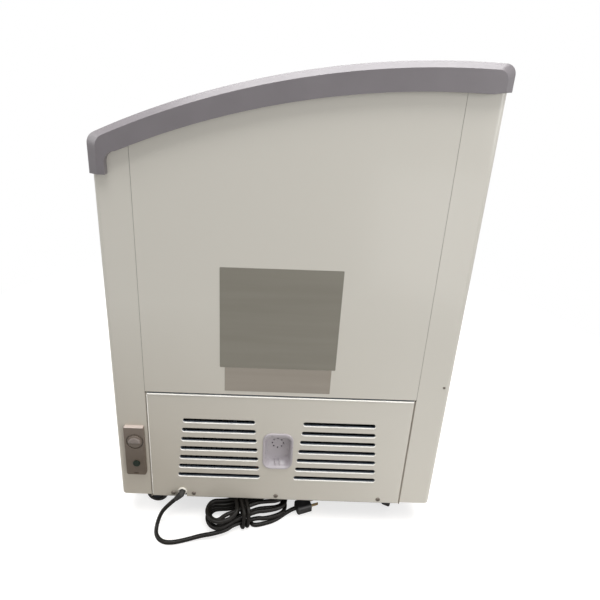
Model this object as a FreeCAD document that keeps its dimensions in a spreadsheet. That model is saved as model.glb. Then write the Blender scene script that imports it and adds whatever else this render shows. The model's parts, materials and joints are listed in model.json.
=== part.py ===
"""Curved-top display freezer: chest cabinet on castors with two sliding glass lids.

X runs along the cabinet with the machine end at +X, Y from the customer's side (-Y) to the
wall side (+Y), Z up from the floor. All lengths are in millimetres.
"""
import FreeCAD
import Part
import Sketcher
import math
import os
import re
from FreeCAD import Placement, Rotation, Vector

SIZES = {
    # cabinet
    "cab_length": 960,
    "cab_depth": 638,
    "floor_gap": 60,
    "corner": 10,
    "skin": 1,
    "seam_in": 61,
    "seam_gap": 0.6,
    "base_sheet": 2,
    "edge_slack": 0.01,
    # the arch that every top edge follows
    "crown_radius": 1345,
    "crown_y": 242,
    "crown_top": 911.5,
    # rim mouldings
    "rim_rise": 26,
    "skirt_radius": 1316,
    "skirt_y": 234.6,
    "skirt_drop": 43.5,
    "rim_end": 12,
    "rim_over": 2.5,
    "cap_width": 60,
    "front_corner": 20,
    "rear_corner": 16,
    "front_drop": 183.5,
    "drop_width": 28,
    "drop_corner": 18,
    "rear_drop": 41.5,
    "bevel": 10,
    "bevel_front": 16,
    "bevel_rear": 14,
    # storage tub
    "end_wall": 55,
    "side_wall": 59,
    "floor_wall": 60,
    "step_wall": 50,
    "tub_corner": 30,
    "evap_room": 16,
    "evap_low": 400,
    "evap_top": 241.5,
    "evap_tube": 3.8,
    # machine bay and its cover
    "bay_length": 263,
    "cover_top": 311.5,
    "cover_low": 53,
    "cover_depth": 12,
    "cover_gap": 3,
    "cover_fold": 6,
    "slot_low": 115.5,
    "slot_pitch": 22.45,
    "slot_height": 7.6,
    "slot_lip": 3,
    "slot_roll": 1.8,
    "slot_web": 0.6,
    "slot_edge_low": 58,
    "slot_edge_high": 71,
    "slot_in_low": 35,
    "slot_in_high": 47.5,
    "screw_z": 66,
    "screw_in": 46,
    "screw_off": 23.2,
    "screw_c": 0,
    "screw_head": 4.5,
    "screw_rise": 2.2,
    "screw_shank": 2,
    "screw_deep": 9,
    "hole_room": 0.3,
    "flange_rise": 22,
    "flange_sheet": 1.5,
    # drain outlet
    "cup_half": 30,
    "cup_low": 139,
    "cup_high": 226,
    "cup_corner": 17,
    "cup_rim": 2.5,
    "cup_in_half": 24.5,
    "cup_in_low": 143.5,
    "cup_in_high": 215,
    "cup_in_corner": 12,
    "cup_deep": 24,
    "cup_wall": 2,
    "strainer_z": 188.5,
    "strainer_ring": 10,
    "strainer_hole": 1.7,
    "drip_low": 130,
    "drip_half": 5,
    "drip_rib": 2,
    "drip_proud": 4,
    "drain_in": 36,
    "drain_z": 95,
    "drain_tube": 8,
    "drain_bore": 6,
    "drain_bend": 14,
    "stop_flange": 15,
    "stop_rise": 3,
    "stop_deep": 8,
    # control plate
    "plate_in": 35.8,
    "plate_width": 39.5,
    "plate_low": 117.5,
    "plate_high": 235,
    "plate_corner": 4,
    "plate_proud": 7,
    "plate_edge": 1.5,
    "dial_in": 37,
    "dial_z": 201.5,
    "dial_ring": 17.5,
    "dial_sink": 1.2,
    "knob": 14.3,
    "knob_base": 2.5,
    "knob_rise": 11.5,
    "stem": 3,
    "stem_room": 0.05,
    "thermo_wide": 34,
    "thermo_tall": 40,
    "thermo_deep": 30,
    "lamp_in": 37.8,
    "lamp_z": 147.6,
    "lamp": 7,
    "lamp_rise": 2.5,
    "lamp_neck": 5,
    "lamp_deep": 22,
    "mark_z": 122.6,
    "mark_half": 4.5,
    "mark_tall": 2,
    "mark_sink": 1.5,
    # sliding lids
    "lid_overlap": 40,
    "lid_gap": 0.6,
    "lid_in": 40,
    "lip_in": 57,
    "track_in": 39,
    "lid_frame": 10,
    "track_room": 0.4,
    "lip_web": 1.6,
    "lid_rail": 28,
    "lid_end": 30,
    "glass": 4,
    "glass_room": 0.25,
    "glass_edge": 12,
    "grip_start": 64,
    "grip_long": 140,
    "grip_width": 11,
    "grip_inset": 6,
    "pull_sink": 5,
    # castors
    "castor_in": 42,
    "castor_side": 73,
    "castor_plate": 58,
    "castor_sheet": 2.5,
    "castor_boss": 15,
    "castor_trail": 10,
    "wheel": 23,
    "wheel_wide": 18,
    "wheel_edge": 4,
    "wheel_hub": 9,
    "wheel_dish": 3,
    "axle": 3,
    "axle_head": 5,
    "axle_rise": 1.8,
    "fork_disc": 17,
    "fork_sheet": 2.5,
    "fork_room": 1,
    "fork_top": 53,
    "fork_half": 9,
    "kingpin": 4,
    "swivel_front_machine": 90,
    "swivel_rear_machine": 335,
    "swivel_front_far": 160,
    "swivel_rear_far": 215,
    # cooling machine
    "comp_shift": 3,
    "comp_y": 150,
    "comp_radius": 82,
    "comp_low": 80,
    "comp_seam": 176,
    "comp_high": 258,
    "comp_dome": 45,
    "comp_band": 5,
    "comp_band_tall": 6,
    "foot_pitch_x": 170,
    "foot_pitch_y": 110,
    "foot_pad": 15,
    "foot_margin": 16,
    "grommet": 11,
    "grommet_waist": 7.5,
    "foot_bolt": 3.5,
    "bolt_head": 7,
    "bolt_rise": 5,
    "term_wide": 70,
    "term_deep": 34,
    "term_low": 120,
    "pipe": 4,
    "pipe_bend": 22,
    "cond_in": 48,
    "cond_left": -238,
    "cond_right": -62,
    "cond_low": 84,
    "cond_pitch": 22,
    "cond_tube": 2.6,
    "cond_wire": 0.8,
    "cond_wire_pitch": 11,
    "cond_stay": 14,
    "cond_sheet": 2,
    "fan_in": 88,
    "fan_y": -150,
    "fan_z": 182,
    "fan_radius": 76,
    "fan_hub": 17,
    "fan_hub_deep": 18,
    "fan_blade": 1.6,
    "fan_chord": 34,
    "fan_pitch": 34,
    "fan_shaft": 3,
    "fan_shaft_long": 34,
    "motor_in": 158,
    "motor_long": 50,
    "motor_radius": 36,
    "fan_ring_room": 5,
    "fan_ring_sheet": 2,
    "fan_ring_half": 96,
    "fan_arm": 12,
    "fan_foot": 26,
    "drier": 9,
    "drier_long": 70,
    "drier_y": -36,
    "drier_in": 180,
    "drier_z": 104,
    "suction_y": 100,
    "suction_in": 20,
    "capillary": 1.5,
    "capillary_y": 20,
    # power cord
    "cord": 4,
    "cord_in": 65,
    "cord_z": 72,
    "gland_flange": 10.2,
    "gland_rise": 3,
    "gland_neck": 8,
    "gland_deep": 12,
    "gland_boss": 8,
    "gland_nose": 6,
    "gland_nose_long": 18,
    "cord_run": 30,
    "lead_z": 70,
    "lead_in": 28,
    "lead_y": 20,
    "lead_bend": 20,
    "hank_x": 476,
    "hank_y": -68,
    "hank_angle": 109,
    "hank_lane": 28,
    "hank_step": 9.6,
    "hank_low": 12.9,
    "hank_layer": 8.8,
    "hank_left": 50,
    "hank_right": 68,
    "hank_waist": 18,
    "hank_draw": 7,
    "wrap_room": 0.6,
    "wrap_step": 8.9,
    "wrap_bend": 8,
    "tail_rise": 8,
    "tail_out": 34,
    "tail_far": 62,
    "tail_side": 31,
    "tail_low": 24,
    "tail_lead": 8,
    "plug_at": 113,
    "plug_side": 22,
    "plug_z": 10.3,
    "plug_long": 32,
    "plug_wide": 25,
    "plug_tall": 20,
    "plug_corner": 6,
    "plug_edge": 4,
    "blade_long": 17,
    "blade_wide": 6.3,
    "blade_sheet": 1.5,
    "blade_pitch": 12.7,
    "pin": 2.4,
    "pin_drop": 5.5,
}
SLOT_ROWS = 7
EVAP_LOOPS = 6
COND_PASSES = 10
COND_WIRES = 16
FAN_BLADES = 5
STRAINER_HOLES = 8
HANK_RUNS = 9
WRAPS = 3
BEND_SHARE = 0.45
ROOT_SHARE = 0.8
LEAD_SHARE = 0.7
NOSE_SHARES = (0.1, -0.72, -0.686)
# places that follow from the sizes above
PLACES = {
    "seam": "cab_depth / 2 - seam_in",
    "front_low": "crown_top - front_drop",
    "rear_low": "crown_top - rear_drop",
    "evap_pitch": f"(crown_top - evap_top - evap_low) / {EVAP_LOOPS}",
    "slot_out_low": "seam - slot_edge_low",
    "slot_out_high": "seam - slot_edge_high",
    "cord_y": "cord_in - seam",
    "screw_a": "screw_in - seam",
    "screw_b": "cord_y + screw_off",
    "screw_d": "seam - screw_in",
    "drain_x": "cab_length / 2 - skin - bay_length - step_wall - drain_in",
    "plate_y": "plate_in - cab_depth / 2",
    "dial_y": "dial_in - cab_depth / 2",
    "lamp_y": "lamp_in - cab_depth / 2",
    "lid_front": "lid_in - cab_depth / 2",
    "lid_rear": "cab_depth / 2 - lid_in",
    "lip": "cab_depth / 2 - lip_in",
    "track": "cab_depth / 2 - track_in",
    "grip_front": "lid_front + grip_start",
    "grip_rear": "grip_front + grip_long",
    "castor_y": "cab_depth / 2 - castor_side",
    "comp_x": "(cab_length - skin - bay_length - cover_depth) / 2 + comp_shift",
    "cond_x": "cab_length / 2 - cond_in",
    "fan_x": "cab_length / 2 - fan_in",
    "motor_x": "cab_length / 2 - motor_in",
    "drier_x": "cab_length / 2 - drier_in",
    "lead_x": "cab_length / 2 - lead_in",
}
# places of the free cord on its way to the hank
CORD_SPOTS = (
    (499, -244, 20),
    (515, -250, 6.5),
    (536, -247, 4.3),
    (550, -231, 4.3),
    (553, -209, 4.3),
    (545, -181, 4.4),
    (535, -152, 8),
)
for number, spot in enumerate(CORD_SPOTS):
    for axis, amount in zip("xyz", spot):
        SIZES[f"cord_{axis}_{number}"] = amount

doc = FreeCAD.newDocument("display_freezer")
dims = doc.addObject("Spreadsheet::Sheet", "dims")
cells = {**{alias: str(amount) for alias, amount in SIZES.items()},
         **{alias: f"={formula}" for alias, formula in PLACES.items()}}
for row, (alias, entry) in enumerate(cells.items(), start=1):
    dims.set(f"A{row}", alias)
    dims.set(f"B{row}", entry)
    dims.setAlias(f"B{row}", alias)
doc.recompute()

nodes = []


def bound(text):
    """The same formula with every size named in it pointed at the spreadsheet."""
    return re.sub(
        r"[A-Za-z_][A-Za-z_0-9]*",
        lambda word: f"dims.{word.group(0)}" if word.group(0) in cells else word.group(0),
        text,
    )


def val(text):
    """What a formula comes to with the sizes in the spreadsheet."""
    return float(dims.evalExpression(text))


slack = val("edge_slack")


def vec(*texts):
    return Vector(*[val(text) for text in texts])


def keep(thing, label):
    thing.Label = label
    nodes.append(thing)
    return thing


def new_body(label):
    return keep(doc.addObject("PartDesign::Body", label + "_body"), label)


def outline(body, plane, offset, *loops):
    """A sketch on one of the body's own planes. A loop is a circle (x, y, radius) or a list of
    corners (x, y) or (x, y, radius, turn), the latter with an arc to the next corner."""
    sketch = body.newObject("Sketcher::SketchObject", body.Label + "_sketch")
    origin = [item for item in body.Origin.OriginFeatures if item.Role == plane][0]
    sketch.AttachmentSupport = [(origin, "")]
    sketch.MapMode = "FlatFace"
    sketch.AttachmentOffset = Placement(Vector(0, 0, val(offset)), Rotation())
    sketch.setExpression("AttachmentOffset.Base.z", bound(offset))

    def hold(kind, *rest):
        place = sketch.addConstraint(Sketcher.Constraint(kind, *rest[:-1], val(rest[-1])))
        sketch.setExpression(f"Constraints[{place}]", bound(rest[-1]))

    normal = Vector(0, 0, 1)
    for loop in loops:
        first = sketch.GeometryCount
        if isinstance(loop, tuple):
            at_x, at_y, radius = loop
            middle = Vector(val(at_x), val(at_y), 0)
            sketch.addGeometry(Part.Circle(middle, normal, val(radius)), False)
            hold("DistanceX", first, 3, at_x)
            hold("DistanceY", first, 3, at_y)
            hold("Radius", first, radius)
            continue
        spots = [Vector(val(corner[0]), val(corner[1]), 0) for corner in loop]
        ends = []
        for index, corner in enumerate(loop):
            start = spots[index]
            stop = spots[(index + 1) % len(loop)]
            if len(corner) == 2:
                sketch.addGeometry(Part.LineSegment(start, stop), False)
                ends.append((1, 2))
                continue
            radius = val(corner[2])
            chord = stop - start
            reach = math.sqrt(max(radius ** 2 - (chord.Length / 2) ** 2, 0))
            side = Vector(-chord.y, chord.x, 0).normalize() * (reach * corner[3])
            middle = (start + stop) * 0.5 + side
            low, high = (start, stop) if corner[3] > 0 else (stop, start)
            arc = Part.ArcOfCircle(
                Part.Circle(middle, normal, radius),
                math.atan2(low.y - middle.y, low.x - middle.x),
                math.atan2(high.y - middle.y, high.x - middle.x),
            )
            sketch.addGeometry(arc, False)
            ends.append((1, 2) if corner[3] > 0 else (2, 1))
        for index, corner in enumerate(loop):
            after = (index + 1) % len(loop)
            sketch.addConstraint(Sketcher.Constraint(
                "Coincident", first + index, ends[index][1], first + after, ends[after][0]))
        for index, corner in enumerate(loop):
            hold("DistanceX", first + index, ends[index][0], corner[0])
            hold("DistanceY", first + index, ends[index][0], corner[1])
            if len(corner) > 2:
                hold("Radius", first + index, corner[2])
    return sketch


def pad(body, sketch, length):
    feature = body.newObject("PartDesign::Pad", body.Label + "_pad")
    feature.Profile = sketch
    feature.setExpression("Length", bound(length))
    sketch.Visibility = False
    body.Tip = feature
    doc.recompute()
    return feature


def pocket(body, sketch, length=None, onward=False):
    """Cuts back from the sketch by a length, onward from it, or both ways through all."""
    feature = body.newObject("PartDesign::Pocket", body.Label + "_pocket")
    feature.Profile = sketch
    if length is None:
        feature.Type = "ThroughAll"
        feature.SideType = "Symmetric"
    else:
        feature.setExpression("Length", bound(length))
        feature.Reversed = onward
    sketch.Visibility = False
    body.Tip = feature
    doc.recompute()
    return feature


def revolve(body, sketch, axis):
    feature = body.newObject("PartDesign::Revolution", body.Label + "_turn")
    feature.Profile = sketch
    origin = [item for item in body.Origin.OriginFeatures if item.Role == axis][0]
    feature.ReferenceAxis = (origin, [""])
    feature.Angle = 360
    sketch.Visibility = False
    body.Tip = feature
    doc.recompute()
    return feature


def edge_names(feature, test):
    return [f"Edge{i}" for i, edge in enumerate(feature.Shape.Edges, start=1) if test(edge)]


def round_edges(body, test, radius):
    base = body.Tip
    feature = body.newObject("PartDesign::Fillet", body.Label + "_round")
    feature.Base = (base, edge_names(base, test))
    feature.setExpression("Radius", bound(radius))
    base.Visibility = False
    body.Tip = feature
    doc.recompute()
    return feature


def place(thing, x, y, z, turn=None):
    """Puts a finished object at a spot, turned about Z by an angle from the spreadsheet."""
    thing.Placement = Placement(
        vec(x, y, z), Rotation(Vector(0, 0, 1), val(turn) if turn else 0))
    for axis, text in zip("xyz", (x, y, z)):
        thing.setExpression(f"Placement.Base.{axis}", bound(text))
    if turn:
        thing.setExpression("Placement.Rotation.Angle", bound(turn))


def box(x0, x1, y0, y1, z0, z1):
    thing = doc.addObject("Part::Box", "block")
    for side, low, high in (("Length", x0, x1), ("Width", y0, y1), ("Height", z0, z1)):
        thing.setExpression(side, bound(f"({high}) - ({low})"))
    place(thing, x0, y0, z0)
    return thing


def rod(x, y, z, radius, length, along="Z"):
    thing = doc.addObject("Part::Cylinder", "rod")
    thing.setExpression("Radius", bound(radius))
    thing.setExpression("Height", bound(length))
    turns = {"X": (Vector(0, 1, 0), 90), "Y": (Vector(1, 0, 0), -90), "Z": (Vector(0, 0, 1), 0)}
    thing.Placement = Placement(vec(x, y, z), Rotation(*turns[along]))
    for axis, text in zip("xyz", (x, y, z)):
        thing.setExpression(f"Placement.Base.{axis}", bound(text))
    return thing


def fuse(things):
    thing = doc.addObject("Part::MultiFuse", "joined")
    thing.Shapes = things
    return thing


def cut(base, tool):
    thing = doc.addObject("Part::Cut", "trimmed")
    thing.Base = base
    thing.Tool = tool
    return thing


def group(things, label):
    thing = doc.addObject("Part::Compound", label + "_set")
    thing.Links = things
    return keep(thing, label)


def rounded(x0, x1, y0, y1, radius):
    """Corners of a rectangle with round corners, counter-clockwise."""
    return [
        (f"({x0}) + {radius}", y0), (f"({x1}) - {radius}", y0, radius, 1),
        (x1, f"({y0}) + {radius}"), (x1, f"({y1}) - {radius}", radius, 1),
        (f"({x1}) - {radius}", y1), (f"({x0}) + {radius}", y1, radius, 1),
        (x0, f"({y1}) - {radius}"), (x0, f"({y0}) + {radius}", radius, 1),
    ]


def rectangle(x0, x1, y0, y1):
    return [(x0, y0), (x1, y0), (x1, y1), (x0, y1)]


def slot(x0, x1, y, half):
    """A slot with round ends from x0 to x1."""
    return [
        (f"({x0}) + {half}", f"({y}) - {half}"), (f"({x1}) - {half}", f"({y}) - {half}", half, 1),
        (x1, y, half, 1), (f"({x1}) - {half}", f"({y}) + {half}"),
        (f"({x0}) + {half}", f"({y}) + {half}", half, 1), (x0, y, half, 1),
    ]


def arch(radius, y):
    """Height of the arch of a radius at a distance from front to back."""
    return f"(sqrt(({radius})^2 - (({y}) - crown_y)^2) + crown_top - crown_radius)"


def skirt(y):
    """Height of the lower edge of the end caps."""
    return f"(sqrt(skirt_radius^2 - (({y}) - skirt_y)^2) + crown_top - skirt_drop - skirt_radius)"


def band(y0, y1, low, high):
    """Closed strip between two arches of one centre."""
    return [
        (y0, arch(low, y0), low, -1), (y1, arch(low, y1)),
        (y1, arch(high, y1), high, 1), (y0, arch(high, y0)),
    ]


END = "(cab_length / 2)"
SIDE = "(cab_depth / 2)"
OUT = "(cab_depth / 2 + rim_over)"
TOP = "crown_radius"
DECK = "(crown_radius - rim_rise)"
BAY_TOP = "(cover_top + cover_gap)"
BASE_TOP = "(floor_gap + base_sheet)"
BAY_X = "(cab_length / 2 - skin - bay_length)"
TUB_X = "(cab_length / 2 - end_wall)"
TUB_Y = "(cab_depth / 2 - side_wall)"
STEP_X = "(cab_length / 2 - skin - bay_length - step_wall)"
TUB_Z = f"({BASE_TOP} + floor_wall)"
STEP_Z = f"({BAY_TOP} + step_wall)"
LINE_X = f"({TUB_X} + evap_tube + hole_room)"
CAPILLARY_X = f"({TUB_X} + evap_room - 2 * capillary)"


def over_deck(body, radius):
    """Cuts away all of a body above the arch of a radius."""
    pocket(body, outline(body, "YZ_Plane", "0", [
        (f"-{OUT}", arch(radius, f"-{OUT}"), radius, -1), (OUT, arch(radius, OUT)),
        (OUT, "crown_top + rim_rise"), (f"-{OUT}", "crown_top + rim_rise")]))


# cabinet sheets: each long wrap turns both corners and ends at the seams of the end panels
def wrap(label, side):
    body = new_body(label)
    wall = f"{side} * {SIDE}"
    shift = f"{side} * corner"
    inner = f"{side} * skin"
    edge = f"{side} * seam"
    turn = -side
    pad(body, outline(body, "XY_Plane", "floor_gap", [
        (END, edge), (f"{END} - skin", edge),
        (f"{END} - skin", f"{wall} - {shift}", "corner - skin", -turn),
        (f"{END} - corner", f"{wall} - {inner}"),
        (f"-{END} + corner", f"{wall} - {inner}", "corner - skin", -turn),
        (f"-{END} + skin", f"{wall} - {shift}"),
        (f"-{END} + skin", edge), (f"-{END}", edge),
        (f"-{END}", f"{wall} - {shift}", "corner", turn),
        (f"-{END} + corner", wall), (f"{END} - corner", wall, "corner", turn),
        (END, f"{wall} - {shift}"),
    ]), "crown_top - floor_gap")
    over_deck(body, DECK)
    return body


front_wrap = wrap("front_wrap", -1)
pocket(front_wrap, outline(front_wrap, "YZ_Plane", END, (
    "dial_y", "dial_z", "stem + hole_room"), (
    "lamp_y", "lamp_z", "lamp_neck + hole_room")), "skin * 2")
rear_wrap = wrap("rear_wrap", 1)


def end_panel(label, low, at):
    body = new_body(label)
    half = "(seam - seam_gap)"
    pad(body, outline(body, "YZ_Plane", at, [
        (f"-{half}", low), (half, low), (half, arch(DECK, half), DECK, 1),
        (f"-{half}", arch(DECK, f"-{half}"))]), "skin")


end_panel("machine_end_panel", BAY_TOP, f"{END} - skin")
end_panel("far_end_panel", "floor_gap", f"-{END}")

# base plate with the upstand that takes the cover's screws
base = new_body("base_plate")
IN_X = f"({END} - skin)"
IN_Y = f"({SIDE} - skin)"
pad(base, outline(base, "XY_Plane", "floor_gap", rounded(
    f"-{IN_X}", IN_X, f"-{IN_Y}", IN_Y, "corner")), "base_sheet")
pad(base, outline(base, "YZ_Plane", f"{IN_X} - flange_sheet", [
    ("-seam + cover_depth", BASE_TOP), ("cord_y - gland_flange", BASE_TOP),
    ("cord_y - gland_flange", "cord_z", "gland_flange", -1),
    ("cord_y", "cord_z + gland_flange", "gland_flange", -1),
    ("cord_y + gland_flange", "cord_z"), ("cord_y + gland_flange", BASE_TOP),
    ("seam - cover_depth", BASE_TOP), ("seam - cover_depth", f"{BASE_TOP} + flange_rise"),
    ("-seam + cover_depth", f"{BASE_TOP} + flange_rise")]), "flange_sheet")
SCREWS = ("screw_a", "screw_b", "screw_c", "screw_d")
pocket(base, outline(base, "YZ_Plane", IN_X, *[
    (spot, "screw_z", "screw_shank + hole_room") for spot in SCREWS]), "flange_sheet * 2")
pocket(base, outline(base, "XY_Plane", BASE_TOP, *[
    rectangle(f"{END} - cover_depth - hole_room", END, *sorted((
        f"{side} * (seam - seam_gap - cover_fold)", f"{side} * seam"), key=val))
    for side in (-1, 1)]), "base_sheet * 2")

# foam fills the walls between the sheets and the tub
foam = new_body("foam_body")
pad(foam, outline(foam, "XY_Plane", BASE_TOP, rounded(
    f"-{IN_X}", IN_X, f"-{IN_Y}", IN_Y, "corner")), f"crown_top - {BASE_TOP}")
over_deck(foam, f"({DECK} - skin)")
pocket(foam, outline(foam, "XY_Plane", BAY_TOP, rectangle(
    BAY_X, END, f"-{SIDE}", SIDE)), f"{BAY_TOP} - {BASE_TOP}")
pocket(foam, outline(foam, "XY_Plane", "crown_top", rounded(
    f"-{TUB_X}", TUB_X, f"-{TUB_Y}", TUB_Y, "tub_corner - skin")), f"crown_top - {STEP_Z}")
pocket(foam, outline(foam, "XY_Plane", STEP_Z, rounded(
    f"-{TUB_X}", STEP_X, f"-{TUB_Y}", TUB_Y, "tub_corner - skin")), f"{STEP_Z} - {TUB_Z}")
EVAP_HIGH = f"(evap_low + {EVAP_LOOPS} * evap_pitch)"
pocket(foam, outline(foam, "XY_Plane", EVAP_HIGH, rounded(
    f"-{TUB_X} - evap_room", f"{TUB_X} + evap_room", f"-{TUB_Y} - evap_room",
    f"{TUB_Y} + evap_room", "tub_corner")), f"{EVAP_HIGH} - evap_low + evap_pitch")

pocket(foam, outline(foam, "XY_Plane", STEP_Z, (
    LINE_X, "suction_y", "pipe + hole_room"), (
    CAPILLARY_X, "capillary_y", "capillary + hole_room")), f"{STEP_Z} - {BAY_TOP}")
HOSE = "(drain_tube + hole_room)"
pocket(foam, outline(foam, "XY_Plane", TUB_Z, rectangle(
    f"drain_x - {HOSE}", f"drain_x + {HOSE} + drain_bend", f"-{HOSE}", HOSE)),
    f"{TUB_Z} - drain_z + {HOSE}")
pocket(foam, outline(foam, "YZ_Plane", BAY_X, (
    "0", "drain_z", "drain_tube + hole_room")), f"{BAY_X} - drain_x + drain_tube")

# storage tub of thin sheet, its floor stepped up over the machine bay
tub = new_body("inner_liner")
pad(tub, outline(tub, "XY_Plane", STEP_Z, rounded(
    f"-{TUB_X}", TUB_X, f"-{TUB_Y}", TUB_Y, "tub_corner")), f"crown_top - {STEP_Z}")
pad(tub, outline(tub, "XY_Plane", TUB_Z, rounded(
    f"-{TUB_X}", STEP_X, f"-{TUB_Y}", TUB_Y, "tub_corner")), f"{STEP_Z} - {TUB_Z}")
over_deck(tub, f"({DECK} - skin)")
pad(tub, outline(tub, "YZ_Plane", f"-{END} + corner", band(
    f"-{IN_Y}", IN_Y, f"({DECK} - skin)", DECK)), "cab_length - 2 * corner")
pocket(tub, outline(tub, "XY_Plane", "crown_top", rounded(
    f"-{TUB_X} + skin", f"{TUB_X} - skin", f"-{TUB_Y} + skin", f"{TUB_Y} - skin",
    "tub_corner - skin")), f"crown_top - {STEP_Z} - skin")
pocket(tub, outline(tub, "XY_Plane", f"{STEP_Z} + skin", rounded(
    f"-{TUB_X} + skin", f"{STEP_X} - skin", f"-{TUB_Y} + skin", f"{TUB_Y} - skin",
    "tub_corner - skin")), f"{STEP_Z} - {TUB_Z}")
pocket(tub, outline(tub, "XY_Plane", f"{TUB_Z} + skin", (
    "drain_x", "0", "drain_bore")), "skin * 2")
stopper = new_body("drain_stopper")
pad(stopper, outline(stopper, "XY_Plane", f"{TUB_Z} + skin", (
    "drain_x", "0", "stop_flange")), "stop_rise")
pad(stopper, outline(stopper, "XY_Plane", f"{TUB_Z} + skin - stop_deep", (
    "drain_x", "0", "drain_bore - hole_room")), "stop_deep")

# lining of the machine bay
lining = new_body("bay_lining")
pad(lining, outline(lining, "XZ_Plane", f"-{IN_Y}", [
    (BAY_X, BASE_TOP), (f"{BAY_X} + skin", BASE_TOP), (f"{BAY_X} + skin", f"{BAY_TOP} - skin"),
    (f"{END} - corner", f"{BAY_TOP} - skin"), (f"{END} - corner", BAY_TOP),
    (BAY_X, BAY_TOP)]), f"2 * {IN_Y}")
pocket(lining, outline(lining, "XY_Plane", BAY_TOP, (
    LINE_X, "suction_y", "pipe + hole_room"), (
    CAPILLARY_X, "capillary_y", "capillary + hole_room")), "skin")
pocket(lining, outline(lining, "YZ_Plane", f"{BAY_X} + skin", (
    "0", "drain_z", "drain_tube + hole_room")), "skin")


# rim mouldings: the outer line is shared by the caps and the rails
def corner_arc(side, radius, edge, reach):
    """Middle and top end of the round corner between an arch and an upright side."""
    middle_y = f"({side} * ({edge} - {radius}))"
    middle_z = arch(f"({reach} - {radius})", middle_y)
    share = f"({reach} / ({reach} - {radius}))"
    foot = "(crown_top - crown_radius)"
    return middle_z, (f"(crown_y + ({middle_y} - crown_y) * {share})",
                      f"({foot} + ({middle_z} - {foot}) * {share})")


def rim_line(top_in, front_in, rear_in):
    """Outer line of the rim from the rear over the arch to the front, drawn in by three sizes."""
    reach = f"(crown_radius - {top_in})"
    front = f"({OUT} - {front_in})"
    rear = f"({OUT} - {rear_in})"
    front_z, front_top = corner_arc(-1, "front_corner", front, reach)
    rear_z, rear_top = corner_arc(1, "rear_corner", rear, reach)
    return [
        (rear, "rear_low"), (rear, rear_z, "rear_corner", 1), (*rear_top, reach, 1),
        (*front_top, "front_corner", 1), (f"-{front}", front_z), (f"-{front}", "front_low")]


RIM_OVER = rim_line("0", "0", "0")
RIM_FACE = rim_line("bevel", "bevel_front", "bevel_rear")
HOOD = RIM_OVER + [
    (f"-{SIDE}", "front_low"), (f"-{SIDE}", arch(DECK, f"-{SIDE}"), DECK, -1),
    (SIDE, arch(DECK, SIDE)), (SIDE, "rear_low")]
DROP = f"(-{OUT} + drop_width)"
TURN = f"({DROP} + drop_corner)"
REAR = f"({OUT} - rear_corner - bevel_rear)"
SKIRT_UNDER = [
    (DROP, "front_low"), (DROP, f"{skirt(TURN)} - drop_corner", "drop_corner", -1),
    (TURN, skirt(TURN), "skirt_radius", -1), (REAR, skirt(REAR))]


def end_cap(label, side):
    """Hood over the end of the cabinet, with a skirt on the end that is bevelled to its face."""
    body = new_body(label)
    back = f"({END} + rim_end - bevel)"
    start = END if side > 0 else f"-{back}"
    inner = f"{END} - cap_width" if side > 0 else f"-{END}"
    pad(body, outline(body, "YZ_Plane", start, RIM_OVER + SKIRT_UNDER), "rim_end - bevel")
    bevel = body.newObject("PartDesign::AdditiveLoft", label + "_bevel")
    bevel.Profile = outline(body, "YZ_Plane", f"{side} * {back}", RIM_OVER + SKIRT_UNDER)
    bevel.Sections = [outline(
        body, "YZ_Plane", f"{side} * ({END} + rim_end)", RIM_FACE + SKIRT_UNDER)]
    bevel.Ruled = True
    body.Tip = bevel
    doc.recompute()
    pad(body, outline(body, "YZ_Plane", inner, HOOD), "cap_width")


end_cap("machine_end_cap", 1)
end_cap("far_end_cap", -1)

# lid levels, counted down from the arch
UP_HIGH = "(crown_radius - lip_web - track_room)"
UP_LOW = f"({UP_HIGH} - lid_frame)"
DOWN_HIGH = f"({UP_LOW} - lip_web - 2 * track_room)"
DOWN_LOW = f"({DOWN_HIGH} - lid_frame)"


def rail(label, side):
    body = new_body(label)
    deep = f"({side} * track)"
    lip = f"({side} * lip)"
    tracks = []
    for low, high in ((UP_LOW, UP_HIGH), (DOWN_LOW, DOWN_HIGH)):
        above = f"({high} + track_room)"
        below = f"({low} - track_room)"
        tracks.append((lip, arch(above, lip), above, -side))
        tracks.append((deep, arch(above, deep)))
        tracks.append((deep, arch(below, deep), below, side))
        tracks.append((lip, arch(below, lip)))
    if side < 0:
        over = [(lip, arch(TOP, lip), TOP, 1), *RIM_OVER[3:], (f"-{SIDE}", "front_low"),
                (f"-{SIDE}", arch(DECK, f"-{SIDE}"), DECK, -1), (lip, arch(DECK, lip))]
        tracks = reversed_track(tracks)
    else:
        over = [(lip, arch(DECK, lip), DECK, -1), (SIDE, arch(DECK, SIDE)), (SIDE, "rear_low"),
                *RIM_OVER[:3], (lip, arch(TOP, lip))]
    pad(body, outline(body, "YZ_Plane", f"-{END} + cap_width", over + tracks),
        "cab_length - 2 * cap_width")
    return body


def reversed_track(tracks):
    """The same line walked the other way: each arc moves to its other end and turns about."""
    back = []
    count = len(tracks)
    for index in range(count - 1, -1, -1):
        corner = tracks[index][:2]
        before = tracks[index - 1] if index else ()
        back.append((*corner, before[2], -before[3]) if len(before) > 2 else corner)
    return back


rail("front_rail", -1)
rail("rear_rail", 1)

LID = "(cab_length / 2 - cap_width + lid_overlap / 2 - lid_gap)"


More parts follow.
